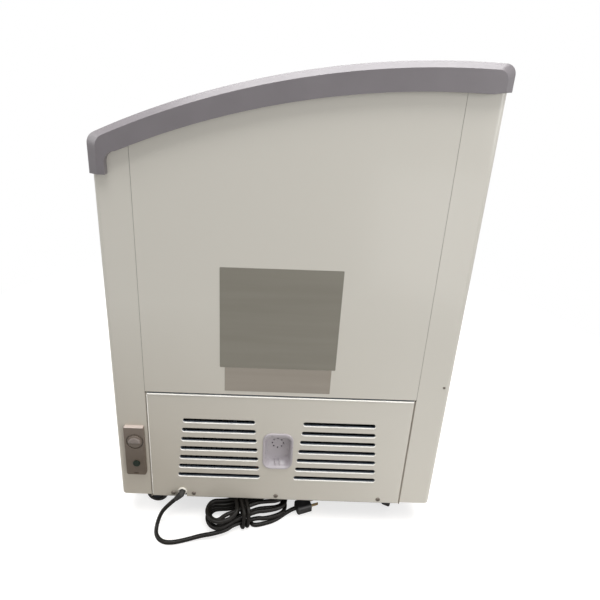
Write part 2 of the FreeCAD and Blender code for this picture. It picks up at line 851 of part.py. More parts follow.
def lid(name, low, high, start):
    """One sliding lid: moulded frame grooved all round for its bent pane."""
    frame = new_body(f"{name}_frame")
    middle = f"(({low} + {high}) / 2)"
    pane_low = f"({middle} - glass / 2)"
    pane_high = f"({middle} + glass / 2)"
    pad(frame, outline(frame, "YZ_Plane", start, band("lid_front", "lid_rear", low, high)), LID)
    pocket(frame, outline(frame, "YZ_Plane", f"{start} + lid_end", band(
        "lid_front + lid_rail", "lid_rear - lid_rail", f"({low} - lip_web)",
        f"({high} + lip_web)")), f"{LID} - 2 * lid_end", True)
    edge = "(lid_rail - glass_edge)"
    pocket(frame, outline(frame, "YZ_Plane", f"{start} + lid_end - glass_edge", band(
        f"lid_front + {edge}", f"lid_rear - {edge}", f"({pane_low} - glass_room)",
        f"({pane_high} + glass_room)")), f"{LID} - 2 * (lid_end - glass_edge)", True)
    pane = new_body(f"{name}_glass")
    inset = f"({edge} + glass_room)"
    pad(pane, outline(pane, "YZ_Plane", f"{start} + lid_end - glass_edge + glass_room", band(
        f"lid_front + {inset}", f"lid_rear - {inset}", pane_low, pane_high)),
        f"{LID} - 2 * (lid_end - glass_edge + glass_room)")
    return frame


def pull(frame, start, high):
    """Finger recess across the end trim of a lid."""
    pocket(frame, outline(frame, "YZ_Plane", start, band(
        "grip_front", "grip_rear", f"({high} - pull_sink)", f"({high} + lip_web)")),
        "grip_width", True)


UPPER = "(-lid_overlap / 2)"
LOWER = f"(lid_overlap / 2 - {LID})"
pull(lid("lid_upper", UP_LOW, UP_HIGH, UPPER), f"{UPPER} + {LID} - grip_inset - grip_width", UP_HIGH)
pull(lid("lid_lower", DOWN_LOW, DOWN_HIGH, LOWER), f"{LOWER} + grip_inset", DOWN_HIGH)

# cover of the machine bay: a folded pan with lipped slots
cover = new_body("machine_cover")
WIDE = "(seam - seam_gap)"
pad(cover, outline(cover, "YZ_Plane", f"{END} - cover_depth", rectangle(
    f"-{WIDE}", WIDE, "cover_low", "cover_top")), "cover_depth")
pocket(cover, outline(cover, "YZ_Plane", f"{END} - cover_depth", rectangle(
    f"-{WIDE} + skin", f"{WIDE} - skin", "cover_low + skin", "cover_top - skin")),
    "cover_depth - skin", True)
inner_x = val(f"{END} - skin")
round_edges(cover, lambda edge: abs(edge.BoundBox.XMin - inner_x) < slack
            and abs(edge.BoundBox.XMax - inner_x) < slack, "cover_fold - skin")
face_x = val(END)
round_edges(cover, lambda edge: edge.BoundBox.XMin > face_x - slack, "cover_fold")
for number in range(SLOT_ROWS):
    rise = f"({number} / {SLOT_ROWS - 1})"
    outside = f"(slot_out_low + (slot_out_high - slot_out_low) * {rise})"
    inside = f"(slot_in_low + (slot_in_high - slot_in_low) * {rise})"
    level = f"(slot_low + slot_pitch * {number})"
    both = ((f"-{outside}", f"-{inside}"), (inside, outside))
    pad(cover, outline(cover, "YZ_Plane", f"{END} - skin - slot_lip", *[
        slot(f"{ends[0]} - slot_roll - slot_web", f"{ends[1]} + slot_roll + slot_web", level,
             "(slot_height / 2 + slot_roll + slot_web)") for ends in both]), "slot_lip")
    pocket(cover, outline(cover, "YZ_Plane", END, *[
        slot(*ends, level, "(slot_height / 2)") for ends in both]), "skin + slot_lip")
flat_y = val(f"{WIDE} - cover_fold")
flat_z = (val("cover_low + cover_fold"), val("cover_top - cover_fold"))


def slot_edge(edge):
    spot = edge.CenterOfMass
    return (edge.BoundBox.XMin > face_x - slack and abs(spot.y) < flat_y - slack
            and flat_z[0] + slack < spot.z < flat_z[1] - slack)


round_edges(cover, slot_edge, "slot_roll")
NOTCH = "(gland_neck + hole_room)"
pocket(cover, outline(
    cover, "YZ_Plane", END,
    rounded("-cup_in_half - cup_wall - hole_room", "cup_in_half + cup_wall + hole_room",
            "cup_in_low - cup_wall - hole_room", "cup_in_high + cup_wall + hole_room",
            "cup_in_corner"),
    *[(spot, "screw_z", "screw_shank + hole_room") for spot in SCREWS],
    [(f"cord_y - {NOTCH}", "cover_low - skin"), (f"cord_y + {NOTCH}", "cover_low - skin"),
     (f"cord_y + {NOTCH}", "cord_z", NOTCH, 1), ("cord_y", f"cord_z + {NOTCH}", NOTCH, 1),
     (f"cord_y - {NOTCH}", "cord_z")],
), "cover_depth * 2")

screws = []
for spot in SCREWS:
    screws.append(fuse([
        rod(END, spot, "screw_z", "screw_head", "screw_rise", "X"),
        rod(f"{END} - screw_deep", spot, "screw_z", "screw_shank", "screw_deep", "X")]))
group(screws, "cover_screws")

# drain outlet: a drafted cup with a strainer and a drip channel
cup = new_body("drain_cup")
pad(cup, outline(cup, "YZ_Plane", END, rounded(
    "-cup_half", "cup_half", "cup_low", "cup_high", "cup_corner")), "cup_rim")
proud_x = val(f"{END} + cup_rim")
round_edges(cup, lambda edge: edge.BoundBox.XMin > proud_x - slack, "cup_rim / 2")
pad(cup, outline(cup, "YZ_Plane", f"{END} + cup_rim - cup_deep", rounded(
    "-cup_in_half - cup_wall", "cup_in_half + cup_wall", "cup_in_low - cup_wall",
    "cup_in_high + cup_wall", "cup_in_corner + cup_wall")), "cup_deep - cup_rim / 2")
pad(cup, outline(cup, "YZ_Plane", END, rectangle(
    "-drip_half - drip_rib", "-drip_half", "drip_low", "cup_in_low"), rectangle(
    "drip_half", "drip_half + drip_rib", "drip_low", "cup_in_low")), "drip_proud")
pocket(cup, outline(cup, "YZ_Plane", f"{END} + cup_rim", rounded(
    "-cup_in_half", "cup_in_half", "cup_in_low", "cup_in_high", "cup_in_corner")),
    "cup_deep - cup_wall")
ring = [(f"strainer_ring * cos({360 / STRAINER_HOLES * number})",
         f"strainer_z + strainer_ring * sin({360 / STRAINER_HOLES * number})", "strainer_hole")
        for number in range(STRAINER_HOLES)]
pocket(cup, outline(cup, "YZ_Plane", f"{END} + cup_rim - cup_deep", *ring), "cup_wall", True)

# control plate with dial, lamp and thermostat
PLATE_L = "(plate_y - plate_width / 2)"
PLATE_R = "(plate_y + plate_width / 2)"
plate = new_body("control_plate")
pad(plate, outline(plate, "YZ_Plane", END, rounded(
    PLATE_L, PLATE_R, "plate_low", "plate_high", "plate_corner")), "plate_proud")
plate_x = val(f"{END} + plate_proud")
round_edges(plate, lambda edge: edge.BoundBox.XMin > plate_x - slack, "plate_edge")
pocket(plate, outline(plate, "YZ_Plane", f"{END} + plate_proud", (
    "dial_y", "dial_z", "dial_ring")), "dial_sink")
pocket(plate, outline(plate, "YZ_Plane", f"{END} + plate_proud", (
    "dial_y", "dial_z", "stem + hole_room"), (
    "lamp_y", "lamp_z", "lamp_neck + hole_room")), "plate_proud")
pocket(plate, outline(plate, "YZ_Plane", f"{END} + plate_proud", rectangle(
    "plate_y - mark_half", "plate_y + mark_half", "mark_z - mark_tall / 2",
    "mark_z + mark_tall / 2")), "mark_sink")
knob = new_body("thermostat_knob")
KNOB_X = f"({END} + plate_proud - dial_sink + hole_room)"
pad(knob, outline(knob, "YZ_Plane", KNOB_X, ("dial_y", "dial_z", "knob")), "knob_base")
pad(knob, outline(knob, "YZ_Plane", KNOB_X, [
    ("dial_y - knob", "dial_z"), ("dial_y + knob", "dial_z", "knob", 1),
    ("dial_y", "dial_z + knob", "knob", 1)]),
    f"{END} + knob_rise - {KNOB_X}")
pad(knob, outline(knob, "YZ_Plane", f"{END} - thermo_deep / 2", (
    "dial_y", "dial_z", "stem")), f"{KNOB_X} - {END} + thermo_deep / 2")
thermo = new_body("thermostat_body")
pad(thermo, outline(thermo, "YZ_Plane", f"{IN_X} - thermo_deep", rectangle(
    "dial_y - thermo_wide / 2", "dial_y + thermo_wide / 2", "dial_z - thermo_tall / 2",
    "dial_z + thermo_tall / 2")), "thermo_deep")
pocket(thermo, outline(thermo, "YZ_Plane", IN_X, (
    "dial_y", "dial_z", "stem + stem_room")), "thermo_deep / 2 + hole_room")
lamp = new_body("power_lamp")
pad(lamp, outline(lamp, "YZ_Plane", f"{END} + plate_proud", (
    "lamp_y", "lamp_z", "lamp")), "lamp_rise")
lamp_x = val(f"{END} + plate_proud + lamp_rise")
round_edges(lamp, lambda edge: edge.BoundBox.XMin > lamp_x - slack, "lamp_rise / 2")
pad(lamp, outline(lamp, "YZ_Plane", f"{END} + plate_proud - lamp_deep", (
    "lamp_y", "lamp_z", "lamp_neck")), "lamp_deep")


# castors, each built about its own swivel axis and then turned and placed
PLATE_LOW = "(floor_gap - castor_sheet)"
CASTORS = {
    "front_machine": (f"{END} - castor_in", "-castor_y"),
    "rear_machine": (f"{END} - castor_in", "castor_y"),
    "front_far": (f"-{END} + castor_in", "-castor_y"),
    "rear_far": (f"-{END} + castor_in", "castor_y"),
}
plates = []
for name, (at_x, at_y) in CASTORS.items():
    half = "castor_plate / 2"
    plates.append(cut(fuse([
        box(f"{at_x} - {half}", f"{at_x} + {half}", f"{at_y} - {half}", f"{at_y} + {half}",
            PLATE_LOW, "floor_gap"),
        rod(at_x, at_y, "fork_top + hole_room", "castor_boss", f"{PLATE_LOW} - fork_top")]),
        rod(at_x, at_y, "fork_top", "kingpin + stem_room", "castor_plate")))
    fork = new_body(f"castor_fork_{name}")
    reach = "(wheel_wide / 2 + fork_room + fork_sheet)"
    pad(fork, outline(fork, "XY_Plane", "fork_top - fork_sheet", ("0", "0", "fork_disc")),
        "fork_sheet")
    pad(fork, outline(fork, "XY_Plane", "fork_top - fork_sheet", rectangle(
        "-castor_trail - fork_half", "0", f"-{reach}", reach)), "fork_sheet")
    for low in (f"-{reach}", f"{reach} - fork_sheet"):
        pad(fork, outline(fork, "XZ_Plane", f"-({low}) - fork_sheet", [
            ("-castor_trail - fork_half", "wheel", "fork_half", 1),
            ("-castor_trail", "wheel - fork_half", "fork_half", 1),
            ("-castor_trail + fork_half", "wheel"), ("0", "fork_top - fork_sheet / 2"),
            ("-castor_trail - fork_half", "fork_top - fork_sheet / 2")]), "fork_sheet")
    pad(fork, outline(fork, "XZ_Plane", f"-{reach}", ("-castor_trail", "wheel", "axle")),
        f"2 * {reach}")
    for low in (f"{reach}", f"-{reach} - axle_rise"):
        pad(fork, outline(fork, "XZ_Plane", low, ("-castor_trail", "wheel", "axle_head")),
            "axle_rise")
    pad(fork, outline(fork, "XY_Plane", "fork_top - fork_sheet / 2", ("0", "0", "kingpin")),
        "fork_sheet / 2 + castor_sheet + hole_room")
    place(fork, at_x, at_y, "0", f"swivel_{name}")
    wheel = new_body(f"castor_wheel_{name}")
    wide = "(wheel_wide / 2)"
    revolve(wheel, outline(wheel, "XY_Plane", "0", [
        ("axle + stem_room", f"-{wide}"), ("wheel_hub", f"-{wide}"),
        ("wheel_hub", f"-{wide} + wheel_dish"), ("wheel - 2 * wheel_edge", f"-{wide} + wheel_dish"),
        ("wheel - 2 * wheel_edge", f"-{wide}"), ("wheel - wheel_edge", f"-{wide}", "wheel_edge", 1),
        ("wheel", f"-{wide} + wheel_edge"), ("wheel", f"{wide} - wheel_edge", "wheel_edge", 1),
        ("wheel - wheel_edge", wide), ("wheel - 2 * wheel_edge", wide),
        ("wheel - 2 * wheel_edge", f"{wide} - wheel_dish"), ("wheel_hub", f"{wide} - wheel_dish"),
        ("wheel_hub", wide), ("axle + stem_room", wide)]), "Y_Axis")
    along = f"castor_trail * cos(swivel_{name} + 180)"
    across = f"castor_trail * sin(swivel_{name} + 180)"
    place(wheel, f"{at_x} + {along}", f"{at_y} + {across}", "wheel", f"swivel_{name}")
group(plates, "castor_plates")


# tubes: straight runs joined by tangent bends
def tube_path(spots, bend):
    edges = []
    last = spots[0]
    for index in range(1, len(spots) - 1):
        into = (spots[index] - spots[index - 1]).normalize()
        away = (spots[index + 1] - spots[index]).normalize()
        half = into.getAngle(away) / 2
        short = min((spots[index] - spots[index - 1]).Length,
                    (spots[index + 1] - spots[index]).Length)
        setback = min(bend * math.tan(half), short * BEND_SHARE)
        start = spots[index] - into * setback
        stop = spots[index] + away * setback
        inward = (away - into).normalize()
        radius = setback / math.tan(half)
        middle = spots[index] + inward * (radius / math.cos(half))
        top = middle - inward * radius
        edges.append(Part.makeLine(last, start))
        edges.append(Part.Arc(start, top, stop).toShape())
        last = stop
    edges.append(Part.makeLine(last, spots[-1]))
    return Part.Wire(edges)


def sweep(path, radius):
    first = path.Edges[0]
    start = first.valueAt(first.FirstParameter)
    ring = Part.Wire([Part.makeCircle(radius, start, first.tangentAt(first.FirstParameter))])
    return path.makePipeShell([ring], True, False)


def tube(label, spots, radius, bend):
    thing = keep(doc.addObject("Part::Feature", label + "_tube"), label)
    thing.Shape = sweep(tube_path([vec(*spot) for spot in spots], val(bend)), val(radius))
    return thing


# cooling machine: compressor on soft feet
COMP_Z = f"({BASE_TOP} + foot_pad)"
shell = new_body("compressor_shell")
revolve(shell, outline(shell, "XZ_Plane", "0", [
    ("0", "comp_low"), ("comp_radius - comp_dome", "comp_low"),
    ("comp_radius", "comp_low + comp_dome"), ("comp_radius", "comp_seam"),
    ("comp_radius + comp_band", "comp_seam"),
    ("comp_radius + comp_band", "comp_seam + comp_band_tall"),
    ("comp_radius", "comp_seam + comp_band_tall"), ("comp_radius", "comp_high - comp_dome",
                                                    "comp_dome", 1),
    ("comp_radius - comp_dome", "comp_high"), ("0", "comp_high")]), "Z_Axis")
place(shell, "comp_x", "comp_y", "0")
SPAN_X = "(foot_pitch_x / 2 + foot_margin)"
SPAN_Y = "(foot_pitch_y / 2 + foot_margin)"
feet = [(f"comp_x + {a} * foot_pitch_x / 2", f"comp_y + {b} * foot_pitch_y / 2")
        for a in (-1, 1) for b in (-1, 1)]
foot = new_body("compressor_feet")
pad(foot, outline(foot, "XY_Plane", COMP_Z, rounded(
    f"comp_x - {SPAN_X}", f"comp_x + {SPAN_X}", f"comp_y - {SPAN_Y}", f"comp_y + {SPAN_Y}",
    "foot_margin")), f"comp_low - {COMP_Z}")
pocket(foot, outline(foot, "XY_Plane", "comp_low", *[
    (*spot, "grommet_waist + hole_room") for spot in feet]))
grommets = []
bolts = []
for at_x, at_y in feet:
    grommets.append(cut(fuse([
        rod(at_x, at_y, BASE_TOP, "grommet", "foot_pad"),
        rod(at_x, at_y, BASE_TOP, "grommet_waist", f"comp_low - {BASE_TOP} + bolt_rise")]),
        rod(at_x, at_y, "floor_gap", "foot_bolt + hole_room", "comp_low")))
    bolts.append(fuse([
        rod(at_x, at_y, BASE_TOP, "foot_bolt", f"comp_low - {BASE_TOP} + bolt_rise"),
        rod(at_x, at_y, "comp_low + bolt_rise", "bolt_head", "bolt_rise")]))
group(grommets, "compressor_grommets")
group(bolts, "compressor_bolts")
terminal = new_body("compressor_terminal")
pad(terminal, outline(terminal, "XY_Plane", "term_low", [
    ("comp_x - term_wide / 2", "comp_y - comp_radius - term_deep"),
    ("comp_x + term_wide / 2", "comp_y - comp_radius - term_deep"),
    ("comp_x + term_wide / 2", "comp_y - sqrt((comp_radius + hole_room)^2 - (term_wide / 2)^2)",
     "comp_radius + hole_room", -1),
    ("comp_x - term_wide / 2",
     "comp_y - sqrt((comp_radius + hole_room)^2 - (term_wide / 2)^2)")]),
    "comp_seam - term_low - hole_room")

# fan: ring plate on a foot, motor on arms, five-bladed wheel
FAN_HOLE = "(fan_radius + fan_ring_room)"
bracket = new_body("fan_bracket")
ring_x = "(fan_x - fan_hub_deep / 2)"
pad(bracket, outline(bracket, "YZ_Plane", ring_x, rectangle(
    "fan_y - fan_ring_half", "fan_y + fan_ring_half", BASE_TOP, "fan_z + fan_ring_half"),
    ("fan_y", "fan_z", FAN_HOLE)), "fan_ring_sheet")
pad(bracket, outline(bracket, "XY_Plane", BASE_TOP, rectangle(
    f"{ring_x} - fan_foot", ring_x, "fan_y - fan_ring_half", "fan_y + fan_ring_half")),
    "fan_ring_sheet")
MOTOR_END = "(motor_x + motor_long)"
pad(bracket, outline(bracket, "YZ_Plane", MOTOR_END, rectangle(
    "fan_y - fan_ring_half", "fan_y + fan_ring_half", "fan_z - fan_arm / 2",
    "fan_z + fan_arm / 2"), ("fan_y", "fan_z", "fan_shaft + hole_room * 4")),
    "fan_ring_sheet")
for low in ("fan_y - fan_ring_half", "fan_y + fan_ring_half - fan_ring_sheet"):
    pad(bracket, outline(bracket, "YZ_Plane", MOTOR_END, rectangle(
        low, f"{low} + fan_ring_sheet", "fan_z - fan_arm / 2", "fan_z + fan_arm / 2")),
        f"{ring_x} - {MOTOR_END}")
motor = new_body("fan_motor")
pad(motor, outline(motor, "YZ_Plane", "motor_x", ("fan_y", "fan_z", "motor_radius")),
    "motor_long")
motor_back = val("motor_x")
round_edges(motor, lambda edge: edge.BoundBox.XMax < motor_back + slack, "fan_arm / 2")
pocket(motor, outline(motor, "YZ_Plane", MOTOR_END, (
    "fan_y", "fan_z", "fan_shaft + stem_room")), "motor_long / 2")
wheel_parts = [
    rod("fan_x - fan_hub_deep / 2", "fan_y", "fan_z", "fan_hub", "fan_hub_deep", "X"),
    rod("fan_x - fan_shaft_long", "fan_y", "fan_z", "fan_shaft", "fan_shaft_long", "X")]
for number in range(FAN_BLADES):
    blade = doc.addObject("Part::Box", "blade")
    for side, text in (("Length", "fan_blade"), ("Width", "fan_chord"),
                       ("Height", f"fan_radius - fan_hub * {ROOT_SHARE}")):
        blade.setExpression(side, bound(text))
    swing = Placement(vec("fan_x", "fan_y", "fan_z"),
                      Rotation(Vector(1, 0, 0), 360 / FAN_BLADES * number))
    tilt = Placement(Vector(), Rotation(Vector(0, 0, 1), val("fan_pitch")))
    seat = Placement(vec("-fan_blade / 2", "-fan_chord / 2", f"fan_hub * {ROOT_SHARE}"), Rotation())
    blade.Placement = swing.multiply(tilt).multiply(seat)
    wheel_parts.append(blade)
keep(fuse(wheel_parts), "fan_blade")

# condenser: one tube bent to and fro with wires across it, on two stays
passes = []
turn_y = val("cond_pitch / 2")
left_y = val("cond_left") + turn_y
right_y = val("cond_right") - turn_y
x_at = val("cond_x")
for number in range(COND_PASSES):
    level = val("cond_low + cond_pitch * " + str(number))
    ends = (right_y, left_y) if number % 2 == 0 else (left_y, right_y)
    passes.append(Part.makeLine(Vector(x_at, ends[0], level), Vector(x_at, ends[1], level)))
    if number < COND_PASSES - 1:
        swell = turn_y if ends[1] > ends[0] else -turn_y
        passes.append(Part.Arc(
            Vector(x_at, ends[1], level), Vector(x_at, ends[1] + swell, level + turn_y),
            Vector(x_at, ends[1], level + 2 * turn_y)).toShape())
coil = keep(doc.addObject("Part::Feature", "condenser_coil_tube"), "condenser_coil")
coil.Shape = sweep(Part.Wire(passes), val("cond_tube"))
wires = []
COND_HIGH = f"(cond_low + cond_pitch * {COND_PASSES - 1})"
for number in range(COND_WIRES):
    spot = f"cond_left + cond_pitch / 2 + cond_wire_pitch * {number}"
    for at_x in ("cond_x + cond_tube + cond_wire + stem_room",
                 "cond_x - cond_tube - cond_wire - stem_room"):
        wires.append(rod(at_x, spot, "cond_low - cond_tube", "cond_wire",
                         f"{COND_HIGH} - cond_low + 2 * cond_tube"))
group(wires, "condenser_wires")
stays = []
STAY_X = "(cond_x - cond_tube - 2 * cond_wire - 2 * stem_room)"
for spot in ("cond_left + cond_pitch", "cond_right - cond_pitch - cond_stay"):
    stays.append(box(f"{STAY_X} - cond_sheet", STAY_X, spot, f"{spot} + cond_stay",
                     BASE_TOP, COND_HIGH))
group(stays, "condenser_stays")

# refrigerant lines
COIL_END = "(cond_right - cond_pitch / 2)"
tube("discharge_line", [
    ("comp_x - suction_in", "comp_y", "comp_high"), ("comp_x - suction_in", "comp_y", COND_HIGH),
    ("cond_x", "0", COND_HIGH), ("cond_x", COIL_END, COND_HIGH)], "cond_tube", "pipe_bend")
tube("suction_line", [
    ("comp_x + suction_in", "comp_y", "comp_high"),
    ("comp_x + suction_in", "comp_y", "comp_high + pipe_bend"),
    (LINE_X, "suction_y", "comp_high + pipe_bend"), (LINE_X, "suction_y", "evap_low")],
    "pipe", "pipe_bend")
tube("liquid_line", [
    ("cond_x", COIL_END, "cond_low"), ("cond_x", "drier_y", "cond_low"),
    ("drier_x", "drier_y", "cond_low"), ("drier_x", "drier_y", "drier_z")],
    "cond_tube", "pipe_bend")
drier = new_body("filter_drier")
pad(drier, outline(drier, "XY_Plane", "drier_z", ("drier_x", "drier_y", "drier")), "drier_long")
round_edges(drier, lambda edge: edge.Closed and edge.Curve.Radius > 0, "drier / 2")
EVAP_END = f"(evap_low + ({EVAP_LOOPS} - 1) * evap_pitch)"
tube("capillary_tube", [
    ("drier_x", "drier_y", "drier_z + drier_long"),
    ("drier_x", "drier_y", "comp_high + 2 * pipe_bend"),
    (CAPILLARY_X, "capillary_y", "comp_high + 2 * pipe_bend"),
    (CAPILLARY_X, "capillary_y", EVAP_END), (LINE_X, "capillary_y + pipe_bend", EVAP_END),
    (LINE_X, "capillary_y + 2 * pipe_bend", EVAP_END)], "capillary", "pipe_bend / 2")
around = [(LINE_X, "suction_y", "evap_low")]
EVAP_Y = f"({TUB_Y} + evap_tube + hole_room)"
for number in range(EVAP_LOOPS):
    level = f"(evap_low + evap_pitch * ({number} + 0.5))"
    around.append((LINE_X, "suction_y", level) if number == 0 else (
        LINE_X, f"-{EVAP_Y}", level))
    around.append((LINE_X, EVAP_Y, level))
    around.append((f"-{LINE_X}", EVAP_Y, level))
    around.append((f"-{LINE_X}", f"-{EVAP_Y}", f"{level} + evap_pitch / 2"))
around.pop()
around[-1] = (f"-{LINE_X}", EVAP_Y, f"(evap_low + evap_pitch * ({EVAP_LOOPS} - 0.5))")
tube("evaporator_tube", around, "evap_tube", "tub_corner")
hose_route = tube_path([vec(*spot) for spot in (
    ("drain_x", "0", TUB_Z), ("drain_x", "0", "drain_z"), (f"{BAY_X} + pipe_bend", "0", "drain_z"),
    ("cond_x", "0", "strainer_z"), (f"{END} + cup_rim - cup_deep", "0", "strainer_z"))],
    val("drain_bend"))
hose = keep(doc.addObject("Part::Feature", "drain_hose_tube"), "drain_hose")
hose.Shape = sweep(hose_route, val("drain_tube")).cut(sweep(hose_route, val("drain_bore")))

# power cord: gland with a slanting nose, lead inside, free stretch, tied hank and plug
NOSE = Vector(*NOSE_SHARES).normalize()
nose_root = vec(f"{END} + gland_boss", "cord_y", "cord_z")
nose = doc.addObject("Part::Cylinder", "nose")
nose.setExpression("Radius", bound("gland_nose"))
nose.setExpression("Height", bound("gland_nose_long"))
nose.Placement = Placement(nose_root, Rotation(Vector(0, 0, 1), NOSE))
keep(fuse([
    rod(f"{END} - gland_deep", "cord_y", "cord_z", "gland_neck", "gland_deep", "X"),
    rod(END, "cord_y", "cord_z", "gland_flange", "gland_rise", "X"),
    rod(END, "cord_y", "cord_z", "gland_neck", "gland_boss", "X"), nose]), "cord_gland")
tube("supply_lead", [
    (f"{END} - gland_deep", "cord_y", "cord_z"), ("lead_x", "cord_y", "cord_z"),
    ("lead_x", "lead_y", "lead_z"), ("comp_x", "lead_y", "lead_z"),
    ("comp_x", "comp_y - comp_radius - term_deep / 2", "lead_z"),
    ("comp_x", "comp_y - comp_radius - term_deep / 2", "term_low")], "cord", "lead_bend")

# the free stretch from the nose to the hank
HANK_TURN = math.radians(val("hank_angle"))
ALONG = Vector(math.cos(HANK_TURN), math.sin(HANK_TURN), 0)
ACROSS = Vector(ALONG.y, -ALONG.x, 0)


def hank_spot(u, v, z):
    """A place on the hank: along it from the waist, across it and up from the floor."""
    return vec("hank_x", "hank_y", "0") + ALONG * u + ACROSS * v + Vector(0, 0, z)


lane = val("hank_lane")
step = val("hank_step") / 2
low_z = val("hank_low")
left = -val("hank_left")
right = val("hank_right")
waist = val("hank_waist")
draw = val("hank_draw")
hank_start = hank_spot(left, lane, low_z)
cord_start = nose_root + NOSE * val("gland_nose_long")
CORD_ROUTE = [
    cord_start,
    cord_start + NOSE * val("cord_run"),
    *[vec(*[f"cord_{axis}_{number}" for axis in "xyz"]) for number in range(len(CORD_SPOTS))],
    hank_start - ALONG * (lane * LEAD_SHARE),
    hank_start,
]


def cord_radii(spots):
    """Prints the radius of each arc of a cord's tube."""
    found = []
    for before, spot, after in zip(spots, spots[1:], spots[2:]):
        half = (spot - before).getAngle(after - spot) / 2
        short = min((spot - before).Length, (after - spot).Length)
        found.append(round(BEND_SHARE * short / math.tan(half), 1))
    print("cord arcs", found)


def cord_piece(label, path):
    thing = keep(doc.addObject("Part::Feature", label + "_tube"), label)
    thing.Shape = sweep(path, val("cord"))
    share = thing.Shape.Volume / (math.pi * val("cord") ** 2 * path.Length)
    print(label, "length", round(path.Length, 1), "volume over section times length", round(share, 4))


cord_radii(CORD_ROUTE)
cord_piece("cord_free", tube_path(CORD_ROUTE, math.inf))


def sway(start, stop, flat):
    """Two arcs from one place to another that leave and arrive along the hank."""
    middle = (start + stop) * 0.5
    over = stop - start
    run = over.dot(flat)
    rise = over - flat * run
    radius = (run ** 2 + rise.Length ** 2) / (4 * rise.Length)
    turn = math.asin(run / 2 / radius) / 2
    lift = rise.normalize() * (radius * (1 - math.cos(turn)))
    ahead = flat * (radius * math.sin(turn))
    return [Part.Arc(start, start + ahead + lift, middle).toShape(),
            Part.Arc(middle, stop - ahead - lift, stop).toShape()]


# lanes wind inwards and outwards by turns, and climb a layer at the waist of every other run
cycle = (lane, step - lane, lane - 2 * step, step - lane)
lanes = [cycle[number % len(cycle)] for number in range(HANK_RUNS)]
levels = [low_z + val("hank_layer") * (number // 2) for number in range(HANK_RUNS)]
high_z = levels[-2]
path = []
for number, across in enumerate(lanes):
    ahead = 1 if number % 2 == 0 else -1
    start_z = levels[max(number - 1, 0)]
    stop_z = levels[number]
    drawn = across - math.copysign(draw, across)
    first, last = (left, right) if ahead > 0 else (right, left)
    if number == HANK_RUNS - 1:
        path.append(Part.makeLine(hank_spot(first, across, start_z),
                                  hank_spot(first + 2 * val("cord"), across, start_z)))
        break
    flat = ALONG * ahead
    into = hank_spot(-waist * ahead, drawn, start_z)
    out = hank_spot(waist * ahead, drawn, stop_z)
    path += sway(hank_spot(first, across, start_z), into, flat)
    path += [Part.makeLine(into, out)] if start_z == stop_z else sway(into, out, flat)
    path += sway(out, hank_spot(last, across, stop_z), flat)
    after = lanes[number + 1]
    middle = (across + after) / 2
    reach = abs(across - after) / 2
    path.append(Part.Arc(
        hank_spot(last, across, stop_z), hank_spot(last + reach * ahead, middle, stop_z),
        hank_spot(last, after, stop_z)).toShape())
loops = Part.Wire(path)
cord_piece("cord_hank", loops)

# the end is wrapped round the waist and lies beside the hank to the plug
room = val("2 * cord + wrap_room")
side_high = lanes[0] - draw + room
side_low = lanes[1] + draw - room
top_z = high_z + room
under_z = low_z - room
wrap = [
    hank_spot(left + 2 * val("cord"), lane, high_z),
    hank_spot(left + 2 * val("cord") + val("tail_rise"), lane, high_z),
    hank_spot(-val("wrap_step") * WRAPS / 2 - val("cord") / 2, side_high - 2 * val("cord"), top_z)]
corners = ((side_low, top_z), (side_low, under_z), (side_high, under_z), (side_high, top_z))
count = len(corners) * WRAPS - 1
for number in range(count):
    across, up = corners[number % len(corners)]
    wrap.append(hank_spot(val("wrap_step") * WRAPS * ((number + 0.5) / count - 0.5), across, up))
plug_start = val("plug_at")
plug_side = val("plug_side")
plug_z = val("plug_z")
tail = [
    hank_spot(val("tail_out"), val("tail_side"), under_z),
    hank_spot(val("tail_far"), val("tail_side"), under_z),
    hank_spot(plug_start - val("tail_low"), plug_side, under_z),
    hank_spot(plug_start - val("tail_lead"), plug_side, plug_z),
    hank_spot(plug_start, plug_side, plug_z)]
join = (wrap[-1] + tail[0]) * 0.5
cord_radii([join, *tail])
cord_piece("cord_tail", Part.Wire(
    tube_path([*wrap, join], val("wrap_bend")).Edges + tube_path([join, *tail], math.inf).Edges))


def least_gap(path, radius, spacing):
    """Least room between stretches of a tube that are not next to each other on it."""
    spots = path.discretize(Distance=spacing)
    near = int(math.pi * radius * 2 / spacing) + 1
    best = math.inf
    for index, spot in enumerate(spots):
        for other in spots[index + near:]:
            best = min(best, (spot - other).Length)
    return best - 2 * radius


print("hank's least gap", round(least_gap(loops, val("cord"), val("cord") / 4), 2))

plug = new_body("power_plug")
pad(plug, outline(plug, "YZ_Plane", "0", rounded(
    "-plug_wide / 2", "plug_wide / 2", "-plug_tall / 2", "plug_tall / 2", "plug_corner")),
    "plug_long")
round_edges(plug, lambda edge: edge.BoundBox.XMax < slack, "plug_edge")
place_x = "(hank_x + plug_at * cos(hank_angle) + plug_side * sin(hank_angle))"
place_y = "(hank_y + plug_at * sin(hank_angle) - plug_side * cos(hank_angle))"
place(plug, place_x, place_y, "plug_z", "hank_angle")
blades = []
for side in (-1, 1):
    at = f"{side} * blade_pitch / 2 - blade_sheet / 2"
    blades.append(box("plug_long", "plug_long + blade_long", at, f"{at} + blade_sheet",
                      "-blade_wide / 2 + pin_drop / 2", "blade_wide / 2 + pin_drop / 2"))
blades.append(rod("plug_long", "0", "-pin_drop", "pin", "blade_long", "X"))
place(group(blades, "plug_blades"), place_x, place_y, "plug_z", "hank_angle")
doc.recompute()

